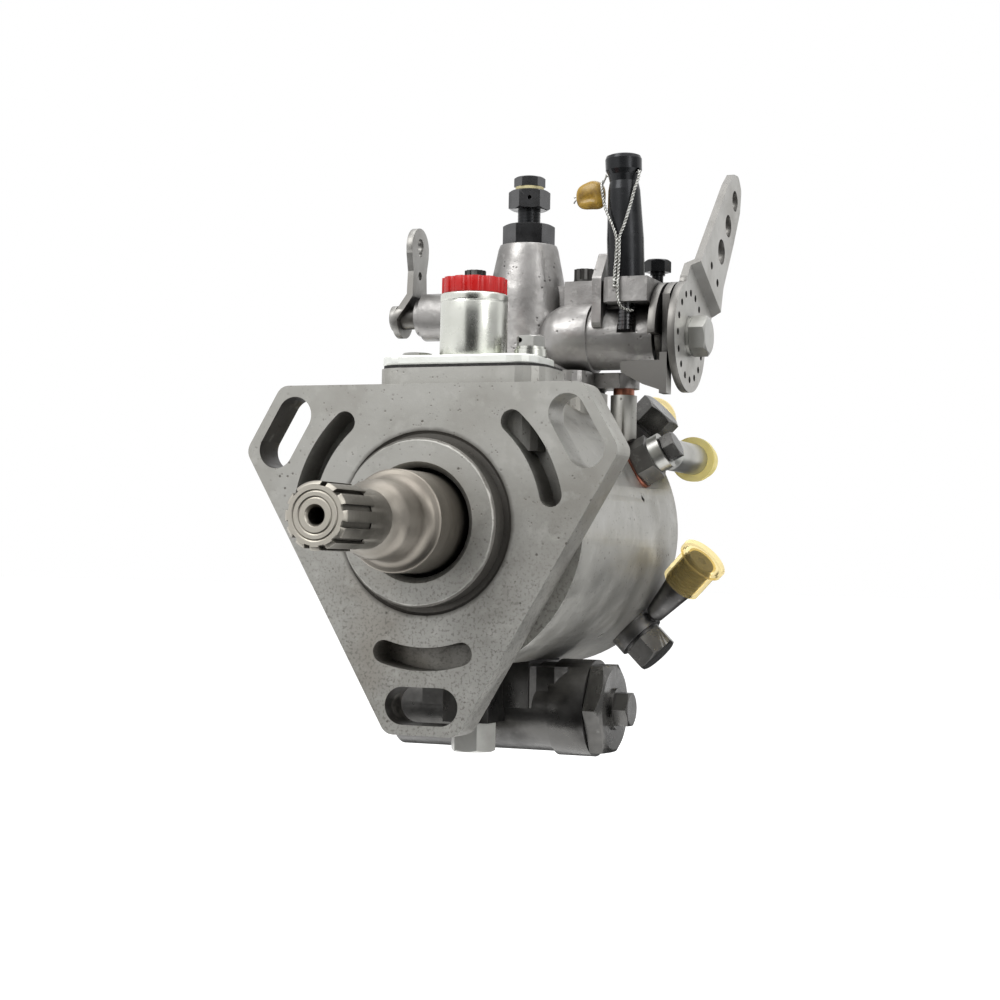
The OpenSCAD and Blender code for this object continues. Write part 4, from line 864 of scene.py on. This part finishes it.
def floor_material():
    material = bpy.data.materials.new("pale_floor")
    material.use_nodes = True
    tree = material.node_tree
    paint = tree.nodes["Principled BSDF"]
    paint.inputs["Base Color"].default_value = FLOOR_GREY
    paint.inputs["Roughness"].default_value = 0.9
    glow = tree.nodes.new("ShaderNodeEmission")
    glow.inputs["Color"].default_value = WHITE
    glow.inputs["Strength"].default_value = FLOOR_GLOW
    both = tree.nodes.new("ShaderNodeAddShader")
    tree.links.new(paint.outputs[0], both.inputs[0])
    tree.links.new(glow.outputs[0], both.inputs[1])
    mixed(tree, paint, both, "Material Output")
    return material


def grey_card(name, size, place, level):
    """A card that only reflections see, as bright as level, where 1 is white."""
    material = bpy.data.materials.new("grey_card")
    material.use_nodes = True
    shader = material.node_tree.nodes["Principled BSDF"]
    shader.inputs["Base Color"].default_value = BLACK
    shader.inputs["Specular IOR Level"].default_value = 0.0
    shader.inputs["Emission Color"].default_value = WHITE
    shader.inputs["Emission Strength"].default_value = level
    card = plain_sheet(name, size, place, material)
    card.visible_camera = False
    card.visible_diffuse = False
    card.visible_shadow = False
    card.visible_transmission = False


MIDDLE = Vector((0.0, 0.03, 0.02))


def facing_middle(place):
    """Where a thing stands in metres, with its -Z, the way a lamp shines, towards the pump's middle."""
    place = Vector(place)
    turned = (place - MIDDLE).normalized().to_track_quat("Z", "Y").to_matrix().to_4x4()
    turned.translation = place
    return turned


def lamp(name, place, size, power):
    data = bpy.data.lights.new(name, "AREA")
    data.size = size
    data.energy = power
    obj = bpy.data.objects.new(name, data)
    obj.matrix_world = facing_middle(place)
    bpy.context.scene.collection.objects.link(obj)


SOFT_LEVEL = 0.45


def set_world():
    """Soft light on the pump, and white where the world itself is seen."""
    world = bpy.data.worlds.new("white_room")
    bpy.context.scene.world = world
    world.use_nodes = True
    tree = world.node_tree
    soft = tree.nodes["Background"]
    soft.inputs["Color"].default_value = WHITE
    soft.inputs["Strength"].default_value = SOFT_LEVEL
    white = tree.nodes.new("ShaderNodeBackground")
    white.inputs["Color"].default_value = WHITE
    white.inputs["Strength"].default_value = 1.0
    mixed(tree, soft, white, "World Output")


FLOOR_Z = -0.17
CARD_Z = FLOOR_Z + 0.003
plain_sheet("floor", 12.0, Matrix.Translation((0, 0, FLOOR_Z)), floor_material())
grey_card("card_front", 0.3, facing_middle((0.2, -0.64, 0.0)), 0.03)
grey_card("card_right", 0.38, facing_middle((0.95, 0.02, 0.12)), 0.36)
grey_card("card_floor_front", 0.5, Matrix.Translation((-0.12, -0.56, CARD_Z)), 0.03)
grey_card("card_floor_back", 0.58, Matrix.Translation((0.3, 0.745, CARD_Z)), 0.1)
lamp("key", (-0.5, -0.75, 0.9), 0.7, 9.0)
lamp("top", (0.1, 0.2, 1.0), 0.9, 7.0)
lamp("side", (0.9, -0.3, 0.45), 0.6, 3.5)
set_world()
bpy.context.scene.view_settings.view_transform = "Standard"
